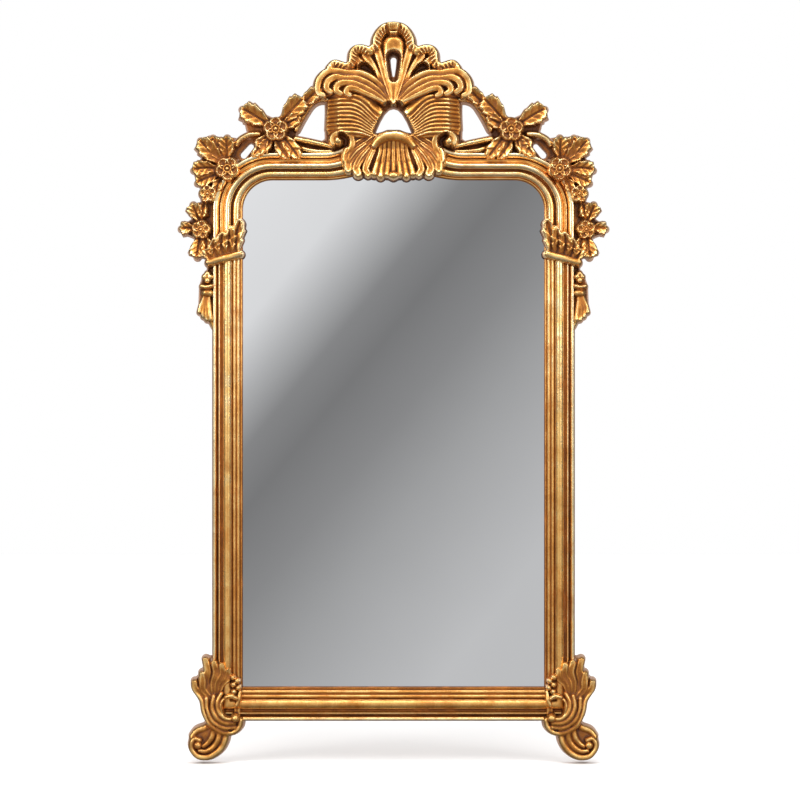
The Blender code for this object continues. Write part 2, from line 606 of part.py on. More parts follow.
def material(name, colour, roughness, metallic):
    made = bpy.data.materials.new(name)
    made.use_nodes = True
    shader = made.node_tree.nodes["Principled BSDF"]
    shader.inputs["Base Color"].default_value = (*colour, 1)
    shader.inputs["Roughness"].default_value = roughness
    shader.inputs["Metallic"].default_value = metallic
    return made


def add_object(name, mesh, finish=None):
    made = bpy.data.objects.new(name, mesh)
    if finish:
        mesh.materials.append(finish)
    bpy.context.collection.objects.link(made)
    return made


def sight_outline(grow):
    """Outline of the mirror opening moved outwards: square below, rounded at the top corners."""
    half = HALF_SIGHT + grow
    low = SIGHT_BOTTOM - grow
    top = SIGHT_TOP + grow
    radius = CORNER_RADIUS + grow
    points = [(-half, low), (half, low)]
    for k in range(13):
        angle = math.pi / 2 * k / 12
        points.append((half - radius + radius * math.cos(angle), top - radius + radius * math.sin(angle)))
    for k in range(13):
        angle = math.pi / 2 * (1 + k / 12)
        points.append((radius - half + radius * math.cos(angle), top - radius + radius * math.sin(angle)))
    return points


def plate_mesh(name, rings):
    """Closed plate through rings of outline points, each at its distance off the wall, back first."""
    count = len(rings[0][0])
    points = [(x * MM, -off * MM, z * MM) for outline, off in rings for x, z in outline]
    faces = [tuple(reversed(range(count)))]
    for level in range(len(rings) - 1):
        low = level * count
        for k in range(count):
            after = (k + 1) % count
            faces.append((low + k, low + after, low + count + after, low + count + k))
    faces.append(tuple(range(len(points) - count, len(points))))
    mesh = bpy.data.meshes.new(name)
    mesh.from_pydata(points, [], faces)
    return mesh


def make_frame():
    gilding = material("antique_gold", (0.62, 0.38, 0.13), 0.35, 0.9)
    mesh = relief_mesh("frame", carve_frame())
    frame = add_object("frame", mesh, gilding)
    thin = frame.modifiers.new("thin", "DECIMATE")
    thin.ratio = FRAME_TRIANGLES / len(mesh.polygons)
    rabbet = sight_outline(RABBET_WIDTH)
    cut_mesh = plate_mesh("rabbet_cutter", [(rabbet, -RABBET_DEPTH), (rabbet, RABBET_DEPTH)])
    cutter = add_object("rabbet_cutter", cut_mesh)
    cutter.hide_render = True
    cutter.display_type = "WIRE"
    cut = frame.modifiers.new("rabbet", "BOOLEAN")
    cut.object = cutter
    cut.operation = "DIFFERENCE"
    cut.solver = "EXACT"
    return frame


def make_glass():
    silver = material("mirror_silver", (0.85, 0.87, 0.88), 0.02, 1.0)
    back = BOARD_SETBACK + BOARD_THICKNESS + FACE_GAP
    front = back + GLASS_THICKNESS
    edge = sight_outline(RABBET_WIDTH - EDGE_CLEARANCE)
    face = sight_outline(RABBET_WIDTH - EDGE_CLEARANCE - GLASS_CHAMFER)
    mesh = plate_mesh("mirror_glass", [(edge, back), (edge, front - GLASS_CHAMFER), (face, front)])
    return add_object("mirror_glass", mesh, silver)


def make_board():
    fibreboard = material("fibreboard", (0.25, 0.16, 0.09), 0.8, 0.0)
    edge = sight_outline(RABBET_WIDTH - EDGE_CLEARANCE)
    mesh = plate_mesh("backing_board", [(edge, BOARD_SETBACK), (edge, BOARD_SETBACK + BOARD_THICKNESS)])
    return add_object("backing_board", mesh, fibreboard)


def main():
    for old in list(bpy.data.objects):
        bpy.data.objects.remove(old, do_unlink=True)
    make_frame()
    make_glass()
    make_board()


main()
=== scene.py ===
import math

import bmesh
import bpy
import numpy as np
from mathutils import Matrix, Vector


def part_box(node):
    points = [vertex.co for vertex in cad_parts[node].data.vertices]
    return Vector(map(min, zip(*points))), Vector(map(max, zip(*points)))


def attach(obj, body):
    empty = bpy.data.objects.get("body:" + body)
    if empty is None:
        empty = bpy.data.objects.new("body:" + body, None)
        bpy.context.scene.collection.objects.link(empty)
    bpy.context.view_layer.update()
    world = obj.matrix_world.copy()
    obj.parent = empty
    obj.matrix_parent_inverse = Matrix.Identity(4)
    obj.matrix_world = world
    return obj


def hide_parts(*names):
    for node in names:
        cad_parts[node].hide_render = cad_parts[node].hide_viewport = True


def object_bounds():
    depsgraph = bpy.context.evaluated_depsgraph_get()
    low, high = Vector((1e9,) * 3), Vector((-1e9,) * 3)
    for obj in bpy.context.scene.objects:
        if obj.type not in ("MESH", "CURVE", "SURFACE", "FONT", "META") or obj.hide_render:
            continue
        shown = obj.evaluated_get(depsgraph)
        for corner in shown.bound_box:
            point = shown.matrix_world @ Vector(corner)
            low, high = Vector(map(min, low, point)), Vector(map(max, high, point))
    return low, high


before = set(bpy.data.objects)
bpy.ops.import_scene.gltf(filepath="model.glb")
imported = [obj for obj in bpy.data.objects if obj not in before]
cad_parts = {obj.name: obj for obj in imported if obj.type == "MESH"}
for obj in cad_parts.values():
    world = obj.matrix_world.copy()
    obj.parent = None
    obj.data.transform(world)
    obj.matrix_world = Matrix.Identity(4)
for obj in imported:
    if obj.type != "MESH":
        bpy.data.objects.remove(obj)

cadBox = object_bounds()
print("frame loaded:", ", ".join(sorted(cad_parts)))

mm = 0.001
scene = bpy.context.scene

# the opening is read off the glass, which is tucked under the sight edge; everything below is in mm
opening = {"glassTuck": 8.0, "cornerRadius": 48.0}
glassLow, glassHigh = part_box("mirror_glass")
halfSight = glassHigh.x / mm - opening["glassTuck"]
sightTop = glassHigh.z / mm - opening["glassTuck"]
sightBottom = glassLow.z / mm + opening["glassTuck"]

# widths run outwards from the sight edge, heights off the wall
moulding = {
    "sideWidth": 50.5,
    "topWidth": 46.0,
    "bottomWidth": 57.0,
    "rabbetWidth": 9.0,
    "rabbetDepth": 11.2,
    "sweepRise": 22.0,  # lift of the top rail beside the crest
    "sweepStart": 112.0,
    "sweepRun": 50.0,
    "sightLift": 0.3,  # share of that lift at the sight edge
    "archEnd": 118.0,  # the arch's own profile ends this far under the sight's top, below the capital
    "profileSteps": 120,
    "unevenness": 0.3,
    "tone": 0.58,
    "fineTone": 0.16,
    "broadTone": 0.04,
    "sightEdgeShade": 0.35,  # painted shade, darker at the glass
    "archHighlight": 0.12,  # painted highlight: paler towards the arch, nearer the lights
}

casting = {
    "ground": 13.0,
    "apron": 4.0,  # ground left round each form
    "outerSlope": 8.0,  # rise over run of the outer walls
    "holeSlope": 8.0,
    "formSlope": 5.0,
    "overMoulding": 7.0,  # how much steeper walls stand where the moulding carries them
    "overSight": 14.0,  # reach of those walls inside the sight edge
    "backGap": 0.3,
    "softness": 0.62,  # rounding of every edge by the mould
    "outlineSoftness": 0.8,
    "waviness": 0.4,
    "waveLength": 24,
    "step": 0.8,
}

# how dark the gold lies in the recesses, from how far each point stands out of its surroundings: patina and
# painted shade in the hollows, rubbed gold and a painted highlight on raised edges
patinaShadeAndHighlight = {
    "even": 0.5,
    "fine": 0.30,
    "fineReach": 1.5,
    "broad": 0.085,
    "broadReach": 4.5,
    "rim": 0.35,
    "mostRubbedAndHighlit": 0.8,  # how far the gold is rubbed on raised edges, with a painted highlight there too
}


# 0 at start, 1 at end, eased
def ramp(value, start, end):
    share = np.clip((value - start) / (end - start), 0, 1)
    return share * share * (3 - 2 * share)


# sigma in grid cells
def blurred(field, sigma):
    margin = int(4 * sigma) + 2
    wide = np.pad(field, margin, mode="edge")
    rows = np.fft.fftfreq(wide.shape[0])[:, None]
    columns = np.fft.rfftfreq(wide.shape[1])[None, :]
    gauss = np.exp(-2 * (math.pi * sigma) ** 2 * (rows**2 + columns**2))
    soft = np.fft.irfft2(np.fft.rfft2(wide) * gauss, s=wide.shape)
    return soft[margin:-margin, margin:-margin]


# gentle waves of about one unit, the same on every run
def unevenness(x, z, length, seed):
    dice = np.random.default_rng(seed)
    total = np.zeros(np.shape(x))
    angles = dice.uniform(0, math.pi, 7)
    stretches = dice.uniform(0.6, 1.6, 7)
    shifts = dice.uniform(0, 6, 7)
    for angle, stretch, shift in zip(angles, stretches, shifts):
        along = x * math.cos(angle) + z * math.sin(angle)
        total += np.sin(2 * math.pi * along / (length * stretch) + shift)
    return total / 2.6


def curveThrough(points, spacing=2.0):
    knots = np.array(points, float)
    ends = np.vstack([2 * knots[0] - knots[1], knots, 2 * knots[-1] - knots[-2]])
    runs = []
    for i in range(1, len(ends) - 2):
        a, b, c, d = ends[i - 1 : i + 3]
        count = max(2, int(np.hypot(*(c - b)) / spacing) + 1)
        t = np.linspace(0, 1, count, endpoint=False)[:, None]
        curve = 2 * b + (c - a) * t + (2 * a - 5 * b + 4 * c - d) * t**2
        runs.append(0.5 * (curve + (3 * b - a - 3 * c + d) * t**3))
    return np.vstack(runs + [knots[-1:]])


# share of the route's length, signed side distance and plain distance of each grid point
def measureAlong(route, x, z):
    nearest = np.full(x.shape, 1e9)
    side = np.zeros(x.shape)
    run = np.zeros(x.shape)
    length = 0.0
    for start, end in zip(route[:-1], route[1:]):
        step = end - start
        size = np.hypot(*step)
        dx = x - start[0]
        dz = z - start[1]
        t = np.clip((dx * step[0] + dz * step[1]) / size**2, 0, 1)
        away = np.hypot(dx - t * step[0], dz - t * step[1])
        closer = away < nearest
        nearest = np.where(closer, away, nearest)
        side = np.where(closer, np.sign(step[0] * dz - step[1] * dx) * away, side)
        run = np.where(closer, length + t * size, run)
        length += size
    return run / length, side, nearest, length


def insidePolygon(points, x, z):
    corners = np.array(points, float)
    nearest = np.full(x.shape, 1e9)
    odd = np.zeros(x.shape, bool)
    for start, end in zip(corners, np.roll(corners, -1, axis=0)):
        step = end - start
        dx = x - start[0]
        dz = z - start[1]
        t = np.clip((dx * step[0] + dz * step[1]) / (step @ step), 0, 1)
        nearest = np.minimum(nearest, np.hypot(dx - t * step[0], dz - t * step[1]))
        crosses = (start[1] > z) != (end[1] > z)
        rise = np.where(step[1] == 0, 1e-9, step[1])
        odd ^= crosses & (x < start[0] + (z - start[1]) * step[0] / rise)
    return np.where(odd, nearest, -nearest)


def sweepAt(x):
    share = np.clip((moulding["sweepStart"] - np.abs(x)) / moulding["sweepRun"], 0, 1)
    return moulding["sweepRise"] * share**2


# how far each point lies inside the moulded ring
def insideRing(x, z):
    radius = opening["cornerRadius"]
    side, top, low = moulding["sideWidth"], moulding["topWidth"], moulding["bottomWidth"]
    lift = moulding["sightLift"]
    x = np.abs(x)
    centreX, centreZ = halfSight - radius, sightTop - radius
    out = np.maximum(x - halfSight, sightBottom - z)
    out = np.where(z > centreZ, np.maximum(x - halfSight, z - sightTop - lift * sweepAt(x)), out)
    corner = (x > centreX) & (z > centreZ)
    out = np.where(corner, np.hypot(x - centreX, z - centreZ) - radius, out)
    width = np.where(z > centreZ, top + (1 - lift) * sweepAt(x), np.where(z < sightBottom, low, side))
    return np.minimum(out + casting["overSight"], width - out)


class Relief:
    # carving as a height over the wall, with each point's distance inside the outline;
    # forms are placed from the anchor, in mm

    def __init__(self, low, high, anchor):
        step = casting["step"]
        self.anchor = np.array(anchor, float)
        self.xs = np.arange(low[0], high[0] + step / 2, step)
        self.zs = np.arange(low[1], high[1] + step / 2, step)
        self.x, self.z = np.meshgrid(self.xs, self.zs)
        self.inside = np.full(self.x.shape, -99.0)
        self.hole = np.full(self.x.shape, 99.0)
        self.height = np.zeros(self.x.shape)

    def window(self, points, reach):
        low = self.anchor + np.min(points, axis=0) - reach - 14
        high = self.anchor + np.max(points, axis=0) + reach + 14
        columns = slice(*np.searchsorted(self.xs, (low[0], high[0])))
        rows = slice(*np.searchsorted(self.zs, (low[1], high[1])))
        area = rows, columns
        return area, self.x[area] - self.anchor[0], self.z[area] - self.anchor[1]

    def lay(self, area, inside, top, apron):
        raised = top + casting["formSlope"] * np.minimum(inside, 0)
        self.height[area] = np.maximum(self.height[area], raised)
        self.inside[area] = np.maximum(self.inside[area], inside + apron)

    def pierce(self, outline, widths=None):
        # a polygon is cut as it is, a route is cut as a slot of these half widths
        reach = 2 if widths is None else max(widths)
        area, x, z = self.window(outline, reach)
        if widths is None:
            cut = insidePolygon(outline, x, z)
        else:
            share, _, away, _ = measureAlong(np.array(outline, float), x, z)
            cut = np.interp(share, np.linspace(0, 1, len(widths)), widths) - away
        self.hole[area] = np.minimum(self.hole[area], -cut)

    def sink(self, route, widths, floor):
        area, x, z = self.window(route, max(widths))
        share, _, away, _ = measureAlong(curveThrough(route), x, z)
        inside = np.interp(share, np.linspace(0, 1, len(widths)), widths) - away
        pocket = floor - casting["formSlope"] * np.minimum(inside, 0)
        self.height[area] = np.minimum(self.height[area], pocket)

    def plate(self, outline, top, apron=0.0, dome=0.0):
        area, x, z = self.window(outline, apron)
        inside = insidePolygon(outline, x, z)
        crown = top + dome * (1 - np.exp(-np.clip(inside, 0, None) / 8))
        self.lay(area, inside, crown, apron)

    def roll(self, points, widths, tops, hollow=0.0, notch=0.0, pitch=4.0, apron=casting["apron"], round=0.9):
        # a round band; hollow makes it a channel, notch cuts its inner half like a rope's strands
        route = curveThrough(points)
        area, x, z = self.window(route, max(widths) + apron)
        share, side, away, length = measureAlong(route, x, z)
        half = np.interp(share, np.linspace(0, 1, len(widths)), widths)
        crown = np.interp(share, np.linspace(0, 1, len(tops)), tops)
        across = np.clip(away / half, 0, 1)
        top = crown - round * half * (1 - np.sqrt(1 - across**2))
        top -= hollow * (1 - ramp(across, 0.2, 0.75))
        strands = np.abs(np.cos(math.pi * (share * length + 0.4 * side) / pitch)) ** 3
        top -= notch * strands * ramp(-side / half, -0.35, 0.15)
        self.lay(area, half - away, top, apron)

    def ball(self, centre, radius, top, flat=1.0, apron=casting["apron"]):
        area, x, z = self.window([centre], radius + apron)
        away = np.hypot(x - centre[0], (z - centre[1]) / flat)
        across = np.clip(away / radius, 0, 1)
        self.lay(area, radius - away, top - 0.8 * radius * (1 - np.sqrt(1 - across**2)), apron)

    def leaf(self, points, width, tops, lobes=4, depth=0.17, slant=0.9, cup=3.4, apron=casting["apron"]):
        # serrated leaf along its midrib, a vein to each tooth and the edges turned up
        route = curveThrough(points)
        area, x, z = self.window(route, width + apron)
        share, side, away, length = measureAlong(route, x, z)
        slanted = np.clip(share - slant * np.abs(side) / length, 0, 1)
        tooth = (lobes * slanted) % 1
        tooth = np.where(tooth < 0.72, tooth / 0.72, (1 - tooth) / 0.28)
        belly = np.sin(math.pi * np.clip(slanted, 0.05, 1) ** 0.8) ** 0.62
        half = width / 2 * belly * (1 - depth + depth * tooth)
        inside = np.where((share > 0) & (share < 1), half - np.abs(side), half * 0.4 - away)
        across = np.clip(np.abs(side) / np.maximum(half, 0.5), 0, 1)
        top = np.interp(share, np.linspace(0, 1, len(tops)), tops)
        top += cup * across**2 + 2.6 * (tooth - 0.4) * np.sqrt(across)
        top -= 2.6 * np.exp(-((side / 1.2) ** 2))
        top -= 1.2 * ramp(across, 0.9, 1.0)
        self.lay(area, inside, top, apron)

    def flower(self, centre, radius, top, turn=0.0, petals=5, apron=casting["apron"]):
        # dished overlapping petals with turned-up rims, round a ring and a boss
        area, x, z = self.window([centre], 1.1 * radius + apron)
        dx = x - centre[0]
        dz = z - centre[1]
        size = 0.5 * radius
        for k in range(petals):
            angle = turn + 2 * math.pi * k / petals
            px = dx - size * math.cos(angle)
            pz = dz - size * math.sin(angle)
            away = np.hypot(px, pz)
            across = np.clip(away / size, 0, 1)
            rim = np.exp(-(((across - 0.84) / 0.13) ** 2))
            dish = 0.16 * radius * rim - 0.1 * radius * (1 - across**2)
            aside = -px * math.sin(angle) + pz * math.cos(angle)
            crease = np.exp(-((aside / 0.9) ** 2)) * (across < 0.75)
            self.lay(area, size - away, top - 3.2 + dish - 0.6 * crease - 0.5 * (k % 2), apron)
        away = np.hypot(dx, dz)
        ring = np.exp(-(((away - 0.31 * radius) / (0.07 * radius)) ** 2))
        cup = top - 5.5 + 3.4 * ring
        centred = 1 - ramp(away, 0.36 * radius, 0.46 * radius)
        self.height[area] = self.height[area] * (1 - centred) + cup * centred
        across = np.clip(away / (0.19 * radius), 0, 1)
        self.lay(area, 0.19 * radius - away, top - 1.0 - 0.2 * radius * (1 - np.sqrt(1 - across**2)), 0)


def mirrored(field, sign=1):
    return np.concatenate([sign * field[:, :0:-1], field], axis=1)


# faces inside the outline, and the pairs of grid points that its edge runs between
def cutAtOutline(inside):
    index = np.arange(inside.size).reshape(inside.shape)
    a = index[:-1, :-1].ravel()
    b = index[:-1, 1:].ravel()
    c = index[1:, 1:].ravel()
    d = index[1:, :-1].ravel()
    even = (a // inside.shape[1] + a % inside.shape[1]) % 2 == 0
    oneWay = np.stack([a, b, c, a, c, d], axis=1)
    otherWay = np.stack([a, b, d, b, c, d], axis=1)
    corners = np.where(even[:, None], oneWay, otherWay).reshape(-1, 3)
    within = inside.ravel() > 0
    count = within[corners].sum(axis=1)
    turn = np.arange(3)

    def led(rows, by):
        first = np.argmax(by[rows], axis=1)[:, None]
        return np.take_along_axis(rows, (first + turn) % 3, axis=1)

    single = led(corners[count == 1], within)
    double = led(corners[count == 2], ~within)
    pairs = np.vstack([single[:, [0, 1]], single[:, [0, 2]], double[:, [1, 0]], double[:, [2, 0]]])
    pairs, place = np.unique(pairs, axis=0, return_inverse=True)
    place = place.ravel() + inside.size
    ones = len(single)
    twos = len(double)
    tips = np.stack([single[:, 0], place[:ones], place[ones : 2 * ones]], axis=1)
    nearCut = place[2 * ones : 2 * ones + twos]
    farCut = place[2 * ones + twos :]
    bands = np.stack([nearCut, double[:, 1], double[:, 2], nearCut, double[:, 2], farCut], axis=1)
    return np.vstack([corners[count == 3], tips, bands.reshape(-1, 3)]), pairs


def newPiece(name, points, faces, cavity, wall, finish):
    mesh = bpy.data.meshes.new(name)
    mesh.from_pydata((points * mm).tolist(), [], faces.tolist())
    shaped = bmesh.new()
    shaped.from_mesh(mesh)
    rim = [edge for edge in shaped.edges if edge.is_boundary]
    if rim:
        bmesh.ops.triangle_fill(shaped, edges=rim, use_beauty=True, normal=(0, 1, 0))
        bmesh.ops.recalc_face_normals(shaped, faces=shaped.faces)
    shaped.to_mesh(mesh)
    shaped.free()
    for label, values in (("cavity", cavity), ("wall", wall)):
        layer = mesh.attributes.new(label, "FLOAT", "POINT")
        layer.data.foreach_set("value", np.asarray(values, np.float32))
    mesh.shade_smooth()
    mesh.set_sharp_from_angle(angle=math.radians(55))
    mesh.materials.append(finish)
    piece = bpy.data.objects.new(name, mesh)
    scene.collection.objects.link(piece)
    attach(piece, "root")
    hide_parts("frame")
    print(name, len(mesh.polygons), "faces")
    return piece


# a closed piece with its back on the wall, or over the rabbet in front of the glass
def carvedPiece(name, relief, finish, extraPatinaAndShade, whole=False, side=1, seed=0, gap=casting["backGap"]):
    inside, hole, height, x, z = relief.inside, relief.hole, relief.height, relief.x, relief.z
    if whole:
        inside, hole, height, z = mirrored(inside), mirrored(hole), mirrored(height), mirrored(z)
        x = mirrored(x, -1)
        x[:, : x.shape[1] // 2] = -np.abs(x[:, : x.shape[1] // 2])
    step = casting["step"]
    outer = blurred(np.clip(inside, -9, 30), casting["outlineSoftness"] / step)
    hole = blurred(np.clip(hole, -9, 9), casting["outlineSoftness"] / step)
    ring = ramp(insideRing(x, z), 0, 5)
    slope = casting["outerSlope"] + casting["overMoulding"] * ring
    waves = unevenness(side * x, z, casting["waveLength"], seed)
    ground = np.maximum(height, casting["ground"]) + casting["waviness"] * waves
    ground = np.minimum(ground, np.minimum(slope * outer, (casting["holeSlope"] + slope * ring) * hole))
    ground = blurred(np.clip(ground, 0, None), casting["softness"] / step)
    inside = np.minimum(outer, hole)
    inside = np.where(np.abs(inside) < 0.1 * step, np.where(inside > 0, 0.1, -0.1) * step, inside)
    faces, pairs = cutAtOutline(inside)
    flat = inside.ravel()
    t = (flat[pairs[:, 0]] / (flat[pairs[:, 0]] - flat[pairs[:, 1]]))[:, None]
    grid = np.stack([x.ravel(), z.ravel()], axis=1)
    places = np.vstack([grid, grid[pairs[:, 0]] * (1 - t) + grid[pairs[:, 1]] * t])
    tuck = moulding["rabbetWidth"]
    overGlass = (np.abs(places[:, 0]) < halfSight + tuck) & (places[:, 1] > sightBottom - tuck)
    overGlass &= places[:, 1] < sightTop + tuck
    back = np.where(overGlass, moulding["rabbetDepth"] + gap, gap)
    tops = np.maximum(np.concatenate([ground.ravel(), np.zeros(len(pairs))]), back)
    # cavity: patina and painted shade in the hollows, rubbed gold and a painted highlight on raised parts,
    # from how each point stands out of its surroundings
    shown = np.maximum(ground, casting["ground"])
    fine = shown - blurred(shown, patinaShadeAndHighlight["fineReach"] / step)
    broad = shown - blurred(shown, patinaShadeAndHighlight["broadReach"] / step)
    cavity = patinaShadeAndHighlight["even"] - extraPatinaAndShade + patinaShadeAndHighlight["fine"] * fine + patinaShadeAndHighlight["broad"] * broad
    cavity = np.clip(cavity, 0, patinaShadeAndHighlight["mostRubbedAndHighlit"])
    # wall marks the steep outer and hole walls for their painted reflection and shade colour
    border = casting["apron"] - 1.0
    wall = (1 - ramp(outer, border - 1, border + 1)) * (1 - ring)
    wall = np.maximum(wall, 1 - ramp(hole, 0.5, 3.0))
    cavity = np.concatenate([cavity.ravel(), np.full(len(pairs), patinaShadeAndHighlight["rim"])])
    wall = np.concatenate([wall.ravel(), np.ones(len(pairs))])
    used, faces = np.unique(faces, return_inverse=True)
    faces = faces.reshape(-1, 3)
    points = np.stack([side * places[used, 0], -tops[used], places[used, 1]], axis=1)
    if side < 0:
        faces = faces[:, ::-1]
    return newPiece(name, points, faces, cavity[used], wall[used], finish)


# finishes

# gold tones from the hollows to raised edges: patina with painted shade, then rubbed gold with a painted
# highlight
gilding = {
    "recess": (0.085, 0.024, 0.005),
    "shade": (0.33, 0.115, 0.022),
    "gold": (0.72, 0.32, 0.072),
    "bright": (0.96, 0.61, 0.22),
    "rubbedAndHighlit": (1.0, 0.86, 0.55),
    # painted reflection and shade of the steep walls: the pale room they mirror at a grazing angle, and the
    # shade in the holes
    "wall": (0.47, 0.31, 0.22),
    "blush": (0.52, 0.18, 0.035),  # red ground showing through thin gold
}


def newMaterial(name):
    made = bpy.data.materials.new(name)
    made.use_nodes = True
    tree = made.node_tree
    return made, tree, tree.nodes["Principled BSDF"]


def addNode(tree, kind, **settings):
    node = tree.nodes.new(kind)
    for key, value in settings.items():
        setattr(node, key, value)
    return node


def noiseNode(tree, scale, detail=3.0, roughness=0.5):
    place = addNode(tree, "ShaderNodeTexCoord")
    noise = addNode(tree, "ShaderNodeTexNoise")
    noise.inputs["Scale"].default_value = scale
    noise.inputs["Detail"].default_value = detail
    noise.inputs["Roughness"].default_value = roughness
    tree.links.new(place.outputs["Object"], noise.inputs["Vector"])
    return noise.outputs["Fac"]


def mixColours(tree, amount, first, second):
    mix = addNode(tree, "ShaderNodeMix", data_type="RGBA")
    for socket, value in ((mix.inputs[0], amount), (mix.inputs[6], first), (mix.inputs[7], second)):
        if isinstance(value, tuple):
            socket.default_value = (*value, 1)
        elif isinstance(value, float):
            socket.default_value = value
        else:
            tree.links.new(value, socket)
    return mix.outputs[2]


def mapped(tree, value, low, high, newLow, newHigh):
    span = addNode(tree, "ShaderNodeMapRange")
    for k, number in enumerate((low, high, newLow, newHigh)):
        span.inputs[k + 1].default_value = number
    tree.links.new(value, span.inputs[0])
    return span.outputs[0]


def combined(tree, operation, first, second):
    node = addNode(tree, "ShaderNodeMath", operation=operation)
    for socket, value in zip(node.inputs, (first, second)):
        if isinstance(value, float):
            socket.default_value = value
        else:
            tree.links.new(value, socket)
    return node.outputs[0]


def colourLadder(tree, value, stops):
    ladder = addNode(tree, "ShaderNodeValToRGB")
    while len(ladder.color_ramp.elements) < len(stops):
        ladder.color_ramp.elements.new(0.5)
    for element, (place, colour) in zip(ladder.color_ramp.elements, stops):
        element.position = place
        element.color = (*colour, 1)
    tree.links.new(value, ladder.inputs[0])
    return ladder.outputs["Color"]


def addBump(tree, shader, layers):
    normal = None
    for height, strength, distance in layers:
        bump = addNode(tree, "ShaderNodeBump")
        bump.inputs["Strength"].default_value = strength
        bump.inputs["Distance"].default_value = distance
        tree.links.new(height, bump.inputs["Height"])
        if normal:
            tree.links.new(normal, bump.inputs["Normal"])
        normal = bump.outputs["Normal"]
    tree.links.new(normal, shader.inputs["Normal"])


def makeGilding():
    made, tree, shader = newMaterial("antiqueGold")
    cavity = addNode(tree, "ShaderNodeAttribute", attribute_name="cavity").outputs["Fac"]
    wall = addNode(tree, "ShaderNodeAttribute", attribute_name="wall").outputs["Fac"]
    cloud = mapped(tree, noiseNode(tree, 38, 4), 0.3, 0.7, -0.10, 0.08)
    speck = mapped(tree, noiseNode(tree, 420, 2), 0.3, 0.7, -0.06, 0.06)
    depth = combined(tree, "ADD", combined(tree, "ADD", cavity, cloud), speck)
    # painted shade: browner towards the foot, away from the lights above
    place = addNode(tree, "ShaderNodeTexCoord")
    axes = addNode(tree, "ShaderNodeSeparateXYZ")
    tree.links.new(place.outputs["Object"], axes.inputs[0])
    depth = combined(tree, "SUBTRACT", depth, mapped(tree, axes.outputs["Z"], -0.9, -0.25, 0.1, 0.0))
    # the ladder runs from patina and painted shade in the hollows to rubbed gold and a painted highlight on
    # raised edges
    stops = ((0.0, "recess"), (0.34, "shade"), (0.52, "gold"), (0.72, "bright"), (0.95, "rubbedAndHighlit"))
    colour = colourLadder(tree, depth, [(at, gilding[tone]) for at, tone in stops])
    blush = mapped(tree, noiseNode(tree, 24, 5, 0.6), 0.52, 0.7, 0.0, 0.6)
    colour = mixColours(tree, blush, colour, gilding["blush"])
    # painted reflection and shade on the steep walls
    colour = mixColours(tree, combined(tree, "MULTIPLY", wall, 0.8), colour, gilding["wall"])
    tree.links.new(colour, shader.inputs["Base Color"])
    rough = mapped(tree, depth, 0.2, 0.8, 0.5, 0.26)
    rough = combined(tree, "ADD", rough, combined(tree, "MULTIPLY", wall, 0.2))
    tree.links.new(rough, shader.inputs["Roughness"])
    metal = mapped(tree, depth, 0.1, 0.45, 0.4, 0.95)
    metal = combined(tree, "SUBTRACT", metal, combined(tree, "MULTIPLY", wall, 0.55))
    tree.links.new(metal, shader.inputs["Metallic"])
    addBump(tree, shader, ((noiseNode(tree, 700, 3), 0.12, 0.0005), (noiseNode(tree, 110, 3), 0.25, 0.0012)))
    return made


def makeSilver():
    made, tree, shader = newMaterial("mirrorSilver")
    cloud = mapped(tree, noiseNode(tree, 6), 0.3, 0.7, 0.0, 1.0)
    tint = mixColours(tree, cloud, (0.91, 0.92, 0.93), (0.93, 0.94, 0.95))
    tree.links.new(tint, shader.inputs["Base Color"])
    shader.inputs["Metallic"].default_value = 1.0
    shader.inputs["Roughness"].default_value = 0.012
    return made


def makeFibreboard():
    made, tree, shader = newMaterial("fibreboard")
    fibres = noiseNode(tree, 240, 6, 0.7)
    share = mapped(tree, fibres, 0.35, 0.65, 0.0, 1.0)
    tint = mixColours(tree, share, (0.21, 0.13, 0.07), (0.36, 0.24, 0.15))
    tree.links.new(tint, shader.inputs["Base Color"])
    shader.inputs["Roughness"].default_value = 0.85
    addBump(tree, shader, ((fibres, 0.3, 0.0004),))
    return made


antiqueGold = makeGilding()
mirrorSilver = makeSilver()
fibreboard = makeFibreboard()
for node, finish in (("frame", antiqueGold), ("mirror_glass", mirrorSilver), ("backing_board", fibreboard)):
    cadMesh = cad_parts[node].data
    cadMesh.materials.clear()
    cadMesh.materials.append(finish)
print("finishes made")


# members of the mouldings from the sight edge outwards: start and end as shares of the width,
# heights of foot and crown; a crown under its foot is a hollow
sideMembers = (
    (0.00, 0.09, 12.5, 16.0),
    (0.09, 0.21, 16.5, 19.5),
    (0.21, 0.34, 19.5, 23.0),
    (0.34, 0.62, 23.0, 31.0),
    (0.62, 0.71, 22.5, 19.5),
    (0.71, 0.775, 20.0, 22.5),
    (0.775, 0.825, 18.5, 16.0),
    (0.825, 1.00, 16.0, 23.0),
)
archMembers = (
    (0.00, 0.10, 13.0, 17.0),
    (0.10, 0.32, 17.5, 22.5),
    (0.32, 0.37, 19.5, 17.0),
    (0.37, 0.60, 22.0, 29.5),
    (0.60, 0.72, 23.5, 21.0),
    (0.72, 0.75, 20.5, 18.0),
    (0.75, 1.00, 18.0, 26.0),
)


def mouldingHeight(share, members):
    height = 15 + 3 * share
    for start, end, foot, crown in members:
        across = np.clip(2 * (share - start) / (end - start) - 1, -1, 1)
        member = foot + (crown - foot) * np.sqrt(1 - across**2)
        height = np.where((share >= start) & (share <= end), member, height)
    return height


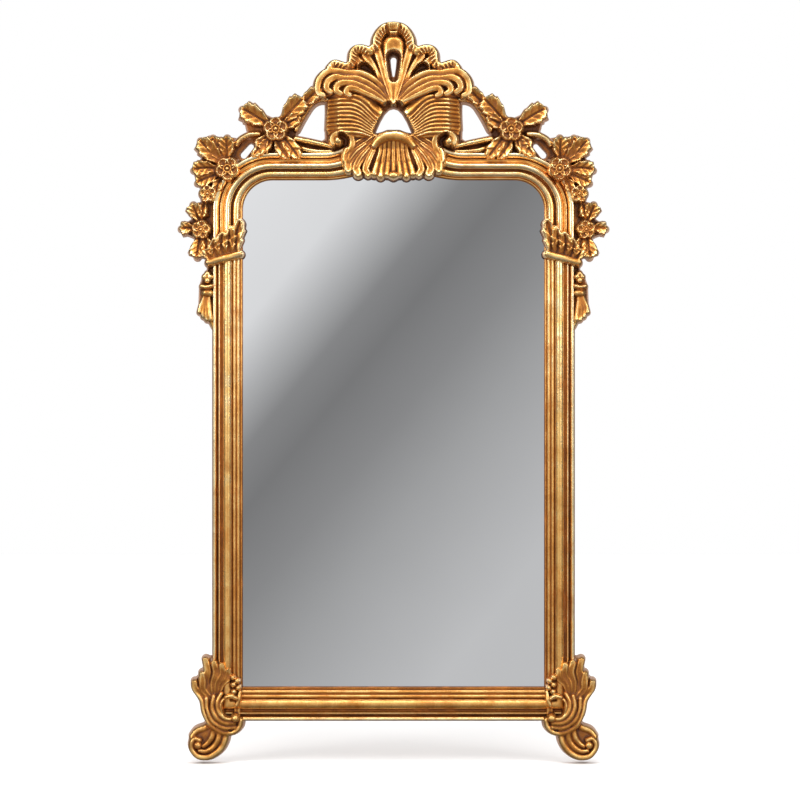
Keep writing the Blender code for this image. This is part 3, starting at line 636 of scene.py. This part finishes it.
# stations round the opening: point on the sight edge, way outwards for the full width, lift, share of arch
def ringStations():
    radius = opening["cornerRadius"]
    side, top, low = moulding["sideWidth"], moulding["topWidth"], moulding["bottomWidth"]
    archZ = sightTop - moulding["archEnd"]
    half = [((halfSight, sightBottom), (side, -low), 0.0, 0.0)]
    for z in np.arange(sightBottom + 6, sightTop - radius - 2, 6.0):
        half.append(((halfSight, z), (side, 0.0), 0.0, float(ramp(z, archZ - 3, archZ + 3))))
    for angle in np.radians(np.arange(0, 90.1, 2.5)):
        width = side + (top - side) * float(ramp(angle, 0, math.pi / 2))
        point = (halfSight - radius + radius * math.cos(angle), sightTop - radius + radius * math.sin(angle))
        half.append((point, (width * math.cos(angle), width * math.sin(angle)), 0.0, 1.0))
    for x in np.arange(halfSight - radius - 3, -0.1, -3.0):
        half.append(((x, sightTop), (0.0, top), float(sweepAt(x)), 1.0))
    flipped = [((-p[0], p[1]), (-out[0], out[1]), lift, arch) for p, out, lift, arch in half[::-1]]
    lowRail = np.arange(-halfSight + 6, halfSight - 5, 6.0)
    middle = [((x, sightBottom), (0.0, -low), 0.0, 0.0) for x in lowRail]
    return half + flipped + middle


def makeMoulding():
    shares = np.linspace(0, 1, moulding["profileSteps"])
    profiles = mouldingHeight(shares, sideMembers), mouldingHeight(shares, archMembers)
    spacing = moulding["sideWidth"] / moulding["profileSteps"]
    sightLift = moulding["sightLift"]
    rings = []
    shades = []
    for point, out, lift, arch in ringStations():
        heights = profiles[0] * (1 - arch) + profiles[1] * arch
        wallRise = casting["outerSlope"] * (1 - shares) * moulding["sideWidth"]
        heights = np.minimum(heights, casting["backGap"] + wallRise)
        x = point[0] + shares * out[0]
        z = point[1] + shares * out[1] + lift * (sightLift + (1 - sightLift) * shares)
        heights = heights + moulding["unevenness"] * unevenness(x, z, 70, 4)
        rows = np.tile(heights, (3, 1))
        face = blurred(rows, 0.9)[1]
        fine = face - blurred(rows, patinaShadeAndHighlight["fineReach"] / spacing)[1]
        broad = face - blurred(rows, patinaShadeAndHighlight["broadReach"] / spacing)[1]
        # patina and painted shade in the moulding's hollows, rubbed gold and a painted highlight on its
        # crowns
        shade = moulding["tone"] + moulding["fineTone"] * fine + moulding["broadTone"] * broad
        # painted shade along the sight edge
        shade = shade - moulding["sightEdgeShade"] * (1 - ramp(shares, 0.02, 0.06))
        # painted highlight, paler towards the upper arch
        shade = np.clip(shade + moulding["archHighlight"] * ramp(point[1], -650, -100), 0, 1)
        reach = moulding["rabbetWidth"] / moulding["sideWidth"]
        rabbet = (point[0] + reach * out[0], point[1] + reach * out[1])  # level, like the board's top
        deep = moulding["rabbetDepth"]
        back = [(x[-1], 0.0, z[-1]), (rabbet[0], 0.0, rabbet[1]), (rabbet[0], -deep, rabbet[1]),
                (x[0], -deep, z[0])]
        rings.append(np.vstack([np.stack([x, -face, z], axis=1), back]))
        shades.append(np.concatenate([shade, [0.4, 0.3, 0.3, 0.3]]))
    count = len(rings[0])
    faces = []
    for k in range(len(rings)):
        after = (k + 1) % len(rings)
        for i in range(count):
            j = (i + 1) % count
            faces.append((k * count + i, k * count + j, after * count + j, after * count + i))
    # the outer wall and the back take the painted reflection and shade colour
    wall = np.tile(np.concatenate([ramp(shares, 0.96, 1.0), [1, 1, 1, 0.2]]), len(rings))
    points = np.vstack(rings)
    return newPiece("mouldedRing", points, np.array(faces), np.concatenate(shades), wall, antiqueGold)


makeMoulding()


# crest over the top rail, measured from the origin, right half

crest = {"ribs": 10, "flutes": 4, "fluteSpread": 10.4, "fluteHead": 6.4, "fluteFoot": -19.0}


def carveCrest():
    relief = Relief((0, -45), (160, 250), (0, sightTop + 24))
    relief.plate([(-20, 219), (20, 219), (31, 196), (44, 188), (68, 180), (73, 164), (100, 160), (116, 148),
                  (130, 118), (112, 100), (112, 40), (80, -10), (-20, -10)], casting["ground"])
    relief.plate([(-20, 217), (18, 216), (28, 196), (40, 187), (60, 185), (69, 164), (98, 160), (108, 148),
                  (60, 130), (-20, 130)], 22)
    carveRim(relief)
    carvePalmette(relief)
    carveShoulder(relief)
    carveWave(relief)
    carveShell(relief)
    carveVolute(relief)
    relief.pierce([(0, 92), (7, 90), (14, 83), (21, 71), (29, 53), (20, 55), (10, 59), (-10, 59), (-20, 55),
                   (-29, 53), (-14, 83)])
    relief.sink([(0, 172), (0, 156), (0, 140)], (8.5, 6.0, 2.6), 12)
    relief.pierce([(0, 171), (0, 146)], (4.8, 3.6, 1.6))
    return relief


def carveRim(relief):
    runs = (
        ([(-6, 222), (0, 222.5), (12, 221), (21, 214), (27, 203), (29, 192), (38, 184)],
         (9.5, 9.5, 9, 8.5, 8), 39),
        ([(39, 183), (50, 187), (60, 186), (65, 180), (66, 170), (69, 162), (77, 158)],
         (8, 8.5, 8.5, 7.5), 38),
        ([(77, 158), (87, 161), (96, 163), (103, 157)], (7.5, 8, 7), 37),
    )
    for route, widths, top in runs:
        relief.roll(route, widths, (top, top - 1), notch=3.0, pitch=6.2, apron=2, round=0.7)
    relief.ball((103, 156), 7, 38, apron=2)
    for k in range(3):
        lean = 0.24 * k
        tip = (19 * math.sin(lean), 211 + 19 * math.cos(lean))
        relief.roll([(2.0 * k, 211), tip], (1.6, 2.8), (41, 45), apron=2, round=1.4)


def carvePalmette(relief):
    relief.plate([(-5, 98), (6, 98), (30, 116), (56, 148), (56, 168), (38, 174), (26, 184), (20, 199),
                  (-5, 199)], 25)
    relief.roll([(0, 100), (0, 128), (0, 152), (0, 176), (0, 192)], (3.5, 7, 12, 15, 17),
                (42, 41, 39, 38, 37), hollow=2.0, round=0.5)
    relief.roll([(0, 182), (7.5, 179), (10, 171), (8, 156), (4, 142), (0, 134)],
                (1.7, 1.8, 1.7), (42, 43, 43), round=1.3)
    relief.roll([(3.5, 104), (9, 122), (15, 143), (20, 163), (27, 186)],
                (2.2, 3.2, 4.6, 5.6, 7), (42, 40, 38, 37, 35), hollow=2.0, round=0.8)
    relief.roll([(5.5, 104), (14, 121), (23, 139), (33, 158), (45, 176)], (2.2, 3.2, 4.4, 5.6, 6.5),
                (40, 37, 36, 35, 34), hollow=2.4, round=0.8)
    relief.roll([(7, 104), (18, 118), (28, 131), (39, 146), (49, 160), (59, 169)],
                (2.2, 3.0, 3.6, 4.2, 5.0, 5.8), (40, 37, 34, 34, 35, 34), hollow=1.8, round=0.8)
    relief.roll([(28, 127), (40, 134), (51, 146), (56, 158), (52, 166)], (2.5, 3.0, 3.2, 3), (34, 33, 34, 35))
    relief.sink([(47, 155), (40, 146), (32, 134)], (5, 5.5, 2.5), 4)


def carveWave(relief):
    relief.plate([(58, 112), (72, 144), (98, 148), (114, 140), (121, 122), (112, 110)], 33)
    flutes = (
        ([(7, 104), (18, 124), (34, 138), (54, 147), (74, 147), (90, 150), (105, 150), (117, 141), (122, 128),
          (121, 115), (113, 111)], (2, 4.4, 5.6, 6, 6, 6.2, 5.0), 40),
        ([(10, 104), (24, 119), (42, 131), (60, 138), (78, 138), (94, 140), (105, 134), (108, 123),
          (101, 116)],
         (2, 4.2, 5.2, 5.6, 6, 6.4, 4.8), 43),
        ([(13, 102), (28, 113), (46, 123), (64, 130), (80, 131), (90, 127), (92, 118), (85, 113)],
         (2, 3.8, 4.8, 5.2, 5.6, 6.2, 4.6), 46),
        ([(16, 100), (32, 108), (48, 115), (62, 121), (73, 121), (76, 114), (70, 110)],
         (2, 3.6, 4.4, 4.8, 5.8, 4.4), 48),
    )
    for route, widths, top in flutes:
        relief.roll(route, widths, (top - 3, top - 1, top, top, top + 1), hollow=1.5, round=1.3)
    relief.ball((119, 118), 6.5, 38)


def carveShoulder(relief):
    outline = [(15, 84), (20, 92), (30, 101), (46, 110), (72, 114), (98, 114), (106, 104),
               (108, 80), (109, 58), (104, 46), (70, 44), (36, 43), (28, 54)]
    area, x, z = relief.window(outline, casting["apron"])
    upper = 114 - 17 * np.clip((76 - x) / 58, 0, 1) ** 2.6
    lower = 48 - 6 * ramp(x, 60, 25)
    fall = np.clip((upper - z) / (upper - lower), 0, 1)
    bunch = 0.42 + 0.58 * ramp(x, 22, 72)
    rib = fall ** (1 / bunch) * crest["ribs"]
    roundRib = np.sqrt(1 - (2 * (rib % 1) - 1) ** 2)
    barrel = 25 + 13 * ramp(x, 12, 52) - 18 * ramp(x, 86, 112)
    relief.lay(area, insidePolygon(outline, x, z), barrel + 4.2 * roundRib, casting["apron"])


def carveShell(relief):
    relief.plate([(-8, 52), (12, 52), (30, 48), (62, 42), (70, 22), (70, 0), (60, -10), (44, -17),
                  (-8, -18)], 31)
    leaves = (
        ([(34, 52), (48, 52), (61, 47), (70, 38), (72, 30)], (2.4, 5, 6.8, 6.0), 37),
        ([(31, 47), (48, 43), (64, 33), (75, 19), (77, 8)], (2.8, 6, 8, 7.6), 40),
        ([(29, 45), (44, 33), (61, 19), (72, 3), (73, -8)], (2.8, 6, 8, 7.6), 42),
        ([(26, 43), (39, 26), (52, 10), (60, -5), (57, -15)], (2.6, 5.6, 7.6, 7.4), 44),
        ([(24, 42), (33, 22), (41, 5), (45, -8), (41, -16)], (2.4, 4.6, 6, 5.6), 45),
    )
    for route, widths, top in leaves:
        relief.roll(route, widths, (top, top - 5, top - 3, top, top + 3), hollow=4.0, apron=3, round=1.4)
        relief.roll(route[1:-1], (1.2, 1.8, 1.4), (top - 6, top - 3, top - 2), apron=0)
    for k in range(crest["flutes"] - 1, -1, -1):
        head = crest["fluteHead"] * k
        foot = crest["fluteSpread"] * k
        top = 47 - 0.8 * k
        low = crest["fluteFoot"] + 3.5 * (k % 2)
        relief.roll([(head, 46), (0.75 * head + 0.25 * foot, 18), (foot, low)],
                    (2.8, 3.8, 5.8), (top - 1, top - 6, top - 6, top + 2), hollow=1.0, apron=3, round=1.6)
    relief.roll([(-12, 45), (0, 46), (13, 44), (25, 37), (31, 30)], (9, 9.5, 9, 6), (47, 47, 45, 42), apron=2)
    relief.ball((0, -19), 10, 53, flat=0.62, apron=2)


def carveVolute(relief):
    relief.roll([(80, 2), (76, 12), (70, 22), (66, 33), (69, 44), (79, 51), (91, 50), (99, 42), (98, 33)],
                (5, 5, 4.6, 4.2, 3.8), (37, 39, 41, 41), hollow=1.2)
    relief.ball((89, 38), 6.5, 43)
    relief.sink([(78, 32), (77, 40), (84, 46)], (2.4, 2.6, 1.6), 18)


carvedPiece("crest", carveCrest(), antiqueGold, extraPatinaAndShade=0.09, whole=True)


# flower sprays on the shoulders of the arch

def carveSpray():
    relief = Relief((95, -165), (360, 145), (halfSight - 244, sightTop + 24))
    relief.plate([(164, 56), (152, 44), (132, 40), (116, 41), (104, 50), (98, 16), (160, 16)],
                 casting["ground"])
    relief.roll([(101, 30), (118, 34), (137, 38), (158, 42)], (2.8, 3.4, 3.6), (27, 29, 28))
    relief.roll([(101, 22), (118, 22), (137, 24), (158, 30)], (2.4, 3.0, 3.4), (25, 26, 26))
    relief.roll([(254, 33), (248, 41), (240, 46), (231, 49), (218, 50)], (3.4, 3.6, 3.4), (27, 28, 27))
    relief.plate([(246, 88), (222, 90), (192, 77), (180, 84), (154, 108), (128, 124), (110, 122), (104, 112),
                  (104, 101), (121, 100), (131, 92), (152, 60), (158, 40), (200, 12),
                  (226, 18), (236, 48), (240, 60)], casting["ground"])
    relief.roll([(106, 106), (121, 105), (134, 97), (147, 77), (157, 58)], (3.0, 3.6, 3.4), (24, 27, 26))
    relief.leaf([(200, 64), (222, 78), (245, 91)], 34, (24, 29, 33), lobes=4)
    relief.leaf([(182, 68), (166, 86), (146, 106)], 36, (25, 31, 35), lobes=4)
    relief.leaf([(150, 92), (138, 106), (120, 122)], 24, (24, 29, 34), lobes=3)
    relief.leaf([(184, 60), (168, 68), (152, 80)], 22, (24, 28, 31), lobes=3)
    relief.leaf([(182, 50), (168, 32), (153, 12)], 24, (25, 29, 33), lobes=3)
    relief.leaf([(189, 46), (184, 30), (170, 11)], 20, (24, 28, 32), lobes=3)
    relief.leaf([(196, 46), (206, 32), (214, 24)], 20, (24, 28, 31), lobes=3)
    relief.leaf([(200, 50), (213, 34), (226, 15)], 24, (25, 29, 33), lobes=3)
    relief.flower((190, 57), 19, 40, turn=0.3)
    relief.plate([(268, 44), (282, 44), (296, 45), (311, 42), (315, 34), (312, 14), (318, 2), (324, -4),
                  (324, -14), (320, -28), (311, -38), (311, -52), (314, -62), (326, -66), (328, -86),
                  (340, -94), (344, -104), (336, -114), (324, -119), (325, -140), (312, -150), (296, -152),
                  (280, -60), (250, -20), (250, 10)], casting["ground"])
    relief.leaf([(274, 4), (286, 24), (293, 45)], 26, (23, 28, 32), lobes=4)
    relief.leaf([(276, 2), (295, 20), (313, 40)], 32, (24, 30, 34), lobes=4)
    relief.leaf([(270, 8), (269, 25), (270, 45)], 26, (24, 29, 34), lobes=4)
    relief.leaf([(284, -6), (304, -5), (324, -8)], 26, (24, 29, 32), lobes=4)
    relief.leaf([(281, -14), (298, -20), (318, -29)], 24, (24, 28, 31), lobes=4)
    relief.leaf([(276, -20), (283, -30), (286, -42)], 18, (24, 28, 30), lobes=3)
    relief.flower((268, -7), 18.5, 41, turn=0.9)
    relief.flower((300, -47), 13.5, 36, turn=0.2)
    relief.leaf([(304, -58), (308, -70), (310, -84)], 16, (22, 26, 28), lobes=3)
    relief.leaf([(312, -92), (318, -80), (325, -64)], 26, (23, 28, 31), lobes=4)
    relief.leaf([(320, -104), (332, -102), (344, -103)], 22, (24, 28, 31), lobes=3)
    relief.leaf([(312, -114), (315, -130), (318, -149)], 28, (24, 28, 31), lobes=4)
    relief.leaf([(306, -114), (302, -126), (301, -140)], 20, (24, 27, 30), lobes=3)
    relief.flower((311, -105), 14.5, 37, turn=0.5)
    relief.plate([(222, 46), (240, 44), (264, 34), (266, 10), (240, 4), (222, 14)], casting["ground"])
    relief.pierce([(231, 31), (243, 17)], (4.2, 5.0))
    return relief


# crown of leaves over a slanted band, and the husk that hangs below it
def carveCapital():
    relief = Relief((236, -280), (340, -80), (halfSight - 244, sightTop + 24))
    relief.plate([(246, -92), (252, -98), (258, -106), (266, -113), (276, -122), (287, -128), (300, -137),
                  (301, -160), (250, -147), (244, -118)], 31, 1, dome=4)
    foot = np.array((251.0, -146.0))
    run = np.array((48.0, -12.0))
    tips = ((247, -91), (261, -104), (276, -114), (291, -125), (301, -136))
    for k, tip in enumerate(tips):
        base = foot + run * (k + 0.3) / len(tips)
        middle = (base + np.array(tip)) / 2 + (3.0, 2.0)
        relief.leaf([base, middle, tip], 24, (34, 38, 40), lobes=3, depth=0.25, cup=3.0, apron=3)
    rim = [(244, -104), (244, -94), (249, -90), (254, -98), (255, -104), (262, -101), (267, -108),
           (269, -114), (276, -111), (282, -118), (284, -124), (290, -121), (296, -129), (300, -137)]
    relief.roll(rim, (2.2, 2.6), (42, 43, 41, 43, 42, 42, 40), apron=3, round=1.2)
    relief.roll([foot + (-3, 1), foot + run / 2, foot + run], (5.6, 5.8, 5.6), (41, 42, 39), apron=3)
    relief.plate([(306, -154), (303, -168), (311, -181), (316, -195), (317, -224), (315, -233),
                  (302, -249), (290, -262), (285, -154)], casting["ground"])
    for centre in ((297, -181), (305, -181), (301, -176), (301, -187)):
        relief.ball(centre, 4.4, 30, apron=3)
    relief.ball((301, -207), 9.5, 28, flat=0.75, apron=3)
    relief.roll([(294, -196), (302, -197.5), (311, -196)], (2.6, 2.8, 2.6), (31, 32, 31), apron=3)
    for tip in ((314, -238), (308, -245), (302, -250), (296, -250)):
        top = (0.35 * tip[0] + 0.65 * 301, -212)
        relief.roll([top, ((top[0] + tip[0]) / 2 + 1, -226), tip], (2.6, 3.6, 3.4), (24, 28, 29), apron=3)
    relief.roll([(300, -240), (296, -252), (292, -262)], (3.4, 3, 2), (25, 24, 20), apron=3)
    return relief


# palmette, nested scroll and foot, measured from the sight corner
def carveCorner():
    relief = Relief((235, -975), (345, -780), (halfSight, sightBottom))
    relief.plate([(26, -66), (60, -56), (64, -60), (80, -67), (88, -84), (87, -103), (78, -116), (60, -119),
                  (41, -110), (30, -96), (24, -80)], casting["ground"], 1.0)
    relief.plate([(28, -68), (60, -60), (80, -70), (85, -86), (83, -102), (75, -112), (58, -114), (42, -106),
                  (32, -92)], 23, dome=3)
    relief.roll([(48, -58), (60, -66), (74, -71), (82, -80)], (5, 5.5, 5, 4), (27, 27, 28, 30), apron=3)
    relief.roll([(27, -70), (29, -87), (38, -102), (54, -112), (70, -112), (80, -103), (83, -92), (77, -83),
                 (69, -85)], (5.4, 5.4, 5.2, 4.6, 3.4), (32, 33, 34, 35), apron=3)
    relief.roll([(37, -68), (39, -84), (47, -96), (59, -103), (69, -102)], (4.8, 5, 4.6, 3),
                (33, 33, 33), apron=3)
    relief.roll([(46, -66), (49, -80), (56, -90), (63, -95)], (4.6, 4.8, 3.6), (32, 32, 31), apron=3)
    relief.ball((72, -93), 6, 36, apron=3)
    relief.plate([(50, 50), (60, 50), (66, 40), (66, 26), (80, 12), (84, 0), (77, -16), (62, -40),
                  (30, -20)], casting["ground"])
    relief.plate([(2, -66), (1, -8), (6, 8), (20, 26), (56, 34), (66, 10), (72, -8), (62, -30), (52, -54),
                  (34, -68)], 27)
    tongues = (
        ([(48, -16), (58, 6), (56, 26), (60, 44)], 6.0, 33),
        ([(46, -14), (47, 6), (42, 24), (46, 40)], 5.4, 35),
        ([(42, -12), (40, 6), (32, 20), (33, 36)], 5.0, 36),
        ([(38, -12), (33, 4), (24, 14), (22, 28)], 4.6, 36),
        ([(50, -18), (63, -4), (64, 10), (66, 22)], 5.4, 34),
        ([(52, -22), (66, -14), (76, -2), (78, 8)], 5.6, 33),
    )
    for route, half, top in tongues:
        relief.roll(route, (3, half, 1.25 * half, half), (31, top - 2, top, top + 1),
                    hollow=2.2, apron=2, round=1.1)
    scrolls = (
        ([(74, -10), (66, -22), (61, -44), (49, -63), (32, -73), (16, -73), (5, -64), (3, -53)], 4.0, 34),
        ([(58, -18), (56, -38), (46, -56), (29, -65), (13, -64)], 3.6, 36),
        ([(46, -14), (48, -33), (40, -50), (27, -57), (14, -57)], 3.6, 38),
        ([(34, -10), (40, -24), (37, -40), (28, -49), (18, -51)], 3.4, 39),
        ([(20, -14), (30, -20), (33, -31), (28, -41), (20, -45)], 3.2, 40),
        ([(4, -8), (5, -20), (9, -28)], 3.0, 38),
    )
    for route, half, top in scrolls:
        relief.roll(route, (half, 1.3 * half, 1.3 * half), (top - 3, top, top - 1), apron=2, round=1.1)
    relief.sink([(22, -28), (21, -38)], (6.0, 5.5), 14)
    relief.roll([(26, -15), (17, -13), (9, -17)], (2.6, 3.8, 2.6), (41, 43, 41), apron=3)
    relief.ball((11, -49), 6.2, 42, apron=3)
    for centre in ((15, 17), (8, 11), (14, 5), (6, 0), (13, -6)):
        relief.ball(centre, 4, 40, apron=3)
    above = relief.z > sightBottom
    relief.inside[above] = np.minimum(relief.inside, relief.x - halfSight)[above]
    return relief


# the browner the piece, the higher its patina and painted shade; the gaps keep the backs of lapping pieces
# apart
for name, carve, extraPatinaAndShade, gap in (
    ("flowerSpray", carveSpray, 0.14, 0.6),
    ("capital", carveCapital, 0.16, 0.9),
    ("cornerScroll", carveCorner, 0.05, 0.6),
):
    relief = carve()
    carvedPiece(name + "Right", relief, antiqueGold, side=1, seed=7, extraPatinaAndShade=extraPatinaAndShade, gap=gap)
    carvedPiece(name + "Left", relief, antiqueGold, side=-1, seed=8, extraPatinaAndShade=extraPatinaAndShade, gap=gap)


# studio: a pale floor, a bright room, soft lights and a straight view

studio = {
    "floorGap": 0.002,
    "distance": 4.5,
    "scale": 0.001617,  # metres a pixel at the carving's middle depth
    "pixels": 800,
    "originColumn": 393.5,  # where the origin lies in the picture
    "originRow": 165,
    "middleDepth": -0.02,
}


def makeFloor():
    low = min(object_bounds()[0].z, cadBox[0].z) - studio["floorGap"]
    mesh = bpy.data.meshes.new("floor")
    mesh.from_pydata([(-6, -8, low), (6, -8, low), (6, 6, low), (-6, 6, low)], [], [(0, 1, 2, 3)])
    floor = bpy.data.objects.new("floor", mesh)
    scene.collection.objects.link(floor)
    made, tree, shader = newMaterial("paleFloor")
    shader.inputs["Base Color"].default_value = (0.94, 0.94, 0.945, 1)
    shader.inputs["Roughness"].default_value = 0.9
    shader.inputs["Specular IOR Level"].default_value = 0.1
    mesh.materials.append(made)
    floor.visible_glossy = False  # the glass mirrors the room only


def makeWorld():
    world = bpy.data.worlds.new("studioRoom")
    scene.world = world
    world.use_nodes = True
    tree = world.node_tree
    tree.nodes.clear()
    place = addNode(tree, "ShaderNodeTexCoord")
    axes = addNode(tree, "ShaderNodeSeparateXYZ")
    tree.links.new(place.outputs["Generated"], axes.inputs[0])
    # what the glass mirrors: pale at the upper left, a dark band across, then slowly paler again
    slant = combined(tree, "SUBTRACT", combined(tree, "MULTIPLY", axes.outputs["X"], 0.775),
                     combined(tree, "MULTIPLY", axes.outputs["Z"], 0.633))
    tones = ((0.0, 0.80), (0.15, 0.74), (0.225, 0.46), (0.29, 0.25), (0.36, 0.2), (0.47, 0.265), (0.58, 0.37),
             (0.7, 0.465), (0.82, 0.55))
    greys = [(at, (t, t, 1.01 * t)) for at, t in tones]
    band = colourLadder(tree, mapped(tree, slant, -0.09, 0.11, 0.0, 1.0), greys)
    # what the gold mirrors: a pale room before it, dim at its sides and below
    front = colourLadder(tree, mapped(tree, axes.outputs["Z"], -1.0, 1.0, 0.0, 1.0), (
        (0.1, (0.20, 0.17, 0.14)), (0.4, (0.50, 0.47, 0.44)), (0.6, (0.95, 0.93, 0.9)),
        (0.8, (0.8, 0.79, 0.77))))
    forward = combined(tree, "MULTIPLY", axes.outputs["Y"], -1.0)
    wide = mixColours(tree, mapped(tree, forward, 0.1, 0.85, 0.0, 1.0), (0.10, 0.085, 0.075), front)
    ahead = mapped(tree, forward, 0.9905, 0.9925, 0.0, 1.0)
    shaders = []
    for colour, strength in ((mixColours(tree, ahead, wide, band), 1.0), (None, 1.12), (None, 1.0)):
        glow = addNode(tree, "ShaderNodeBackground")
        glow.inputs["Strength"].default_value = strength
        if colour:
            tree.links.new(colour, glow.inputs["Color"])
        else:
            glow.inputs["Color"].default_value = (1, 1, 1, 1)
        shaders.append(glow.outputs[0])
    ray = addNode(tree, "ShaderNodeLightPath")
    shown = shaders[1]
    for test, glow in (("Is Glossy Ray", shaders[0]), ("Is Camera Ray", shaders[2])):
        mix = addNode(tree, "ShaderNodeMixShader")
        tree.links.new(ray.outputs[test], mix.inputs[0])
        tree.links.new(shown, mix.inputs[1])
        tree.links.new(glow, mix.inputs[2])
        shown = mix.outputs[0]
    out = addNode(tree, "ShaderNodeOutputWorld")
    tree.links.new(shown, out.inputs["Surface"])


def softLight(name, place, aim, size, power, colour=(1, 1, 1)):
    light = bpy.data.lights.new(name, "AREA")
    light.shape = "RECTANGLE"
    light.size, light.size_y = size
    light.energy = power
    light.color = colour
    lamp = bpy.data.objects.new(name, light)
    lamp.location = place
    lamp.rotation_euler = (Vector(aim) - Vector(place)).to_track_quat("-Z", "Y").to_euler()
    scene.collection.objects.link(lamp)


def makeCamera():
    data = bpy.data.cameras.new("camera")
    camera = bpy.data.objects.new("camera", data)
    scene.collection.objects.link(camera)
    span = studio["scale"] * studio["pixels"]
    data.sensor_width = 36
    data.lens = 36 * studio["distance"] / span
    aimX = (studio["pixels"] / 2 - studio["originColumn"]) * studio["scale"]
    aimZ = (studio["originRow"] - studio["pixels"] / 2) * studio["scale"]
    camera.location = (aimX, studio["middleDepth"] - studio["distance"], aimZ)
    camera.rotation_euler = (math.pi / 2, 0, 0)
    data.dof.use_dof = False
    scene.camera = camera


makeFloor()
makeWorld()
softLight("leftLight", (-1.7, -1.7, 0.4), (-0.1, 0, -0.1), (0.7, 1.0), 16, (1.0, 0.98, 0.95))
softLight("rightLight", (1.7, -1.7, 0.3), (0.1, 0, -0.1), (0.7, 1.0), 12, (1.0, 0.98, 0.95))
softLight("topLight", (0.0, -1.3, 1.6), (0, 0, -0.2), (1.8, 0.6), 24)
makeCamera()
scene.view_settings.view_transform = "Standard"
print("studio ready")
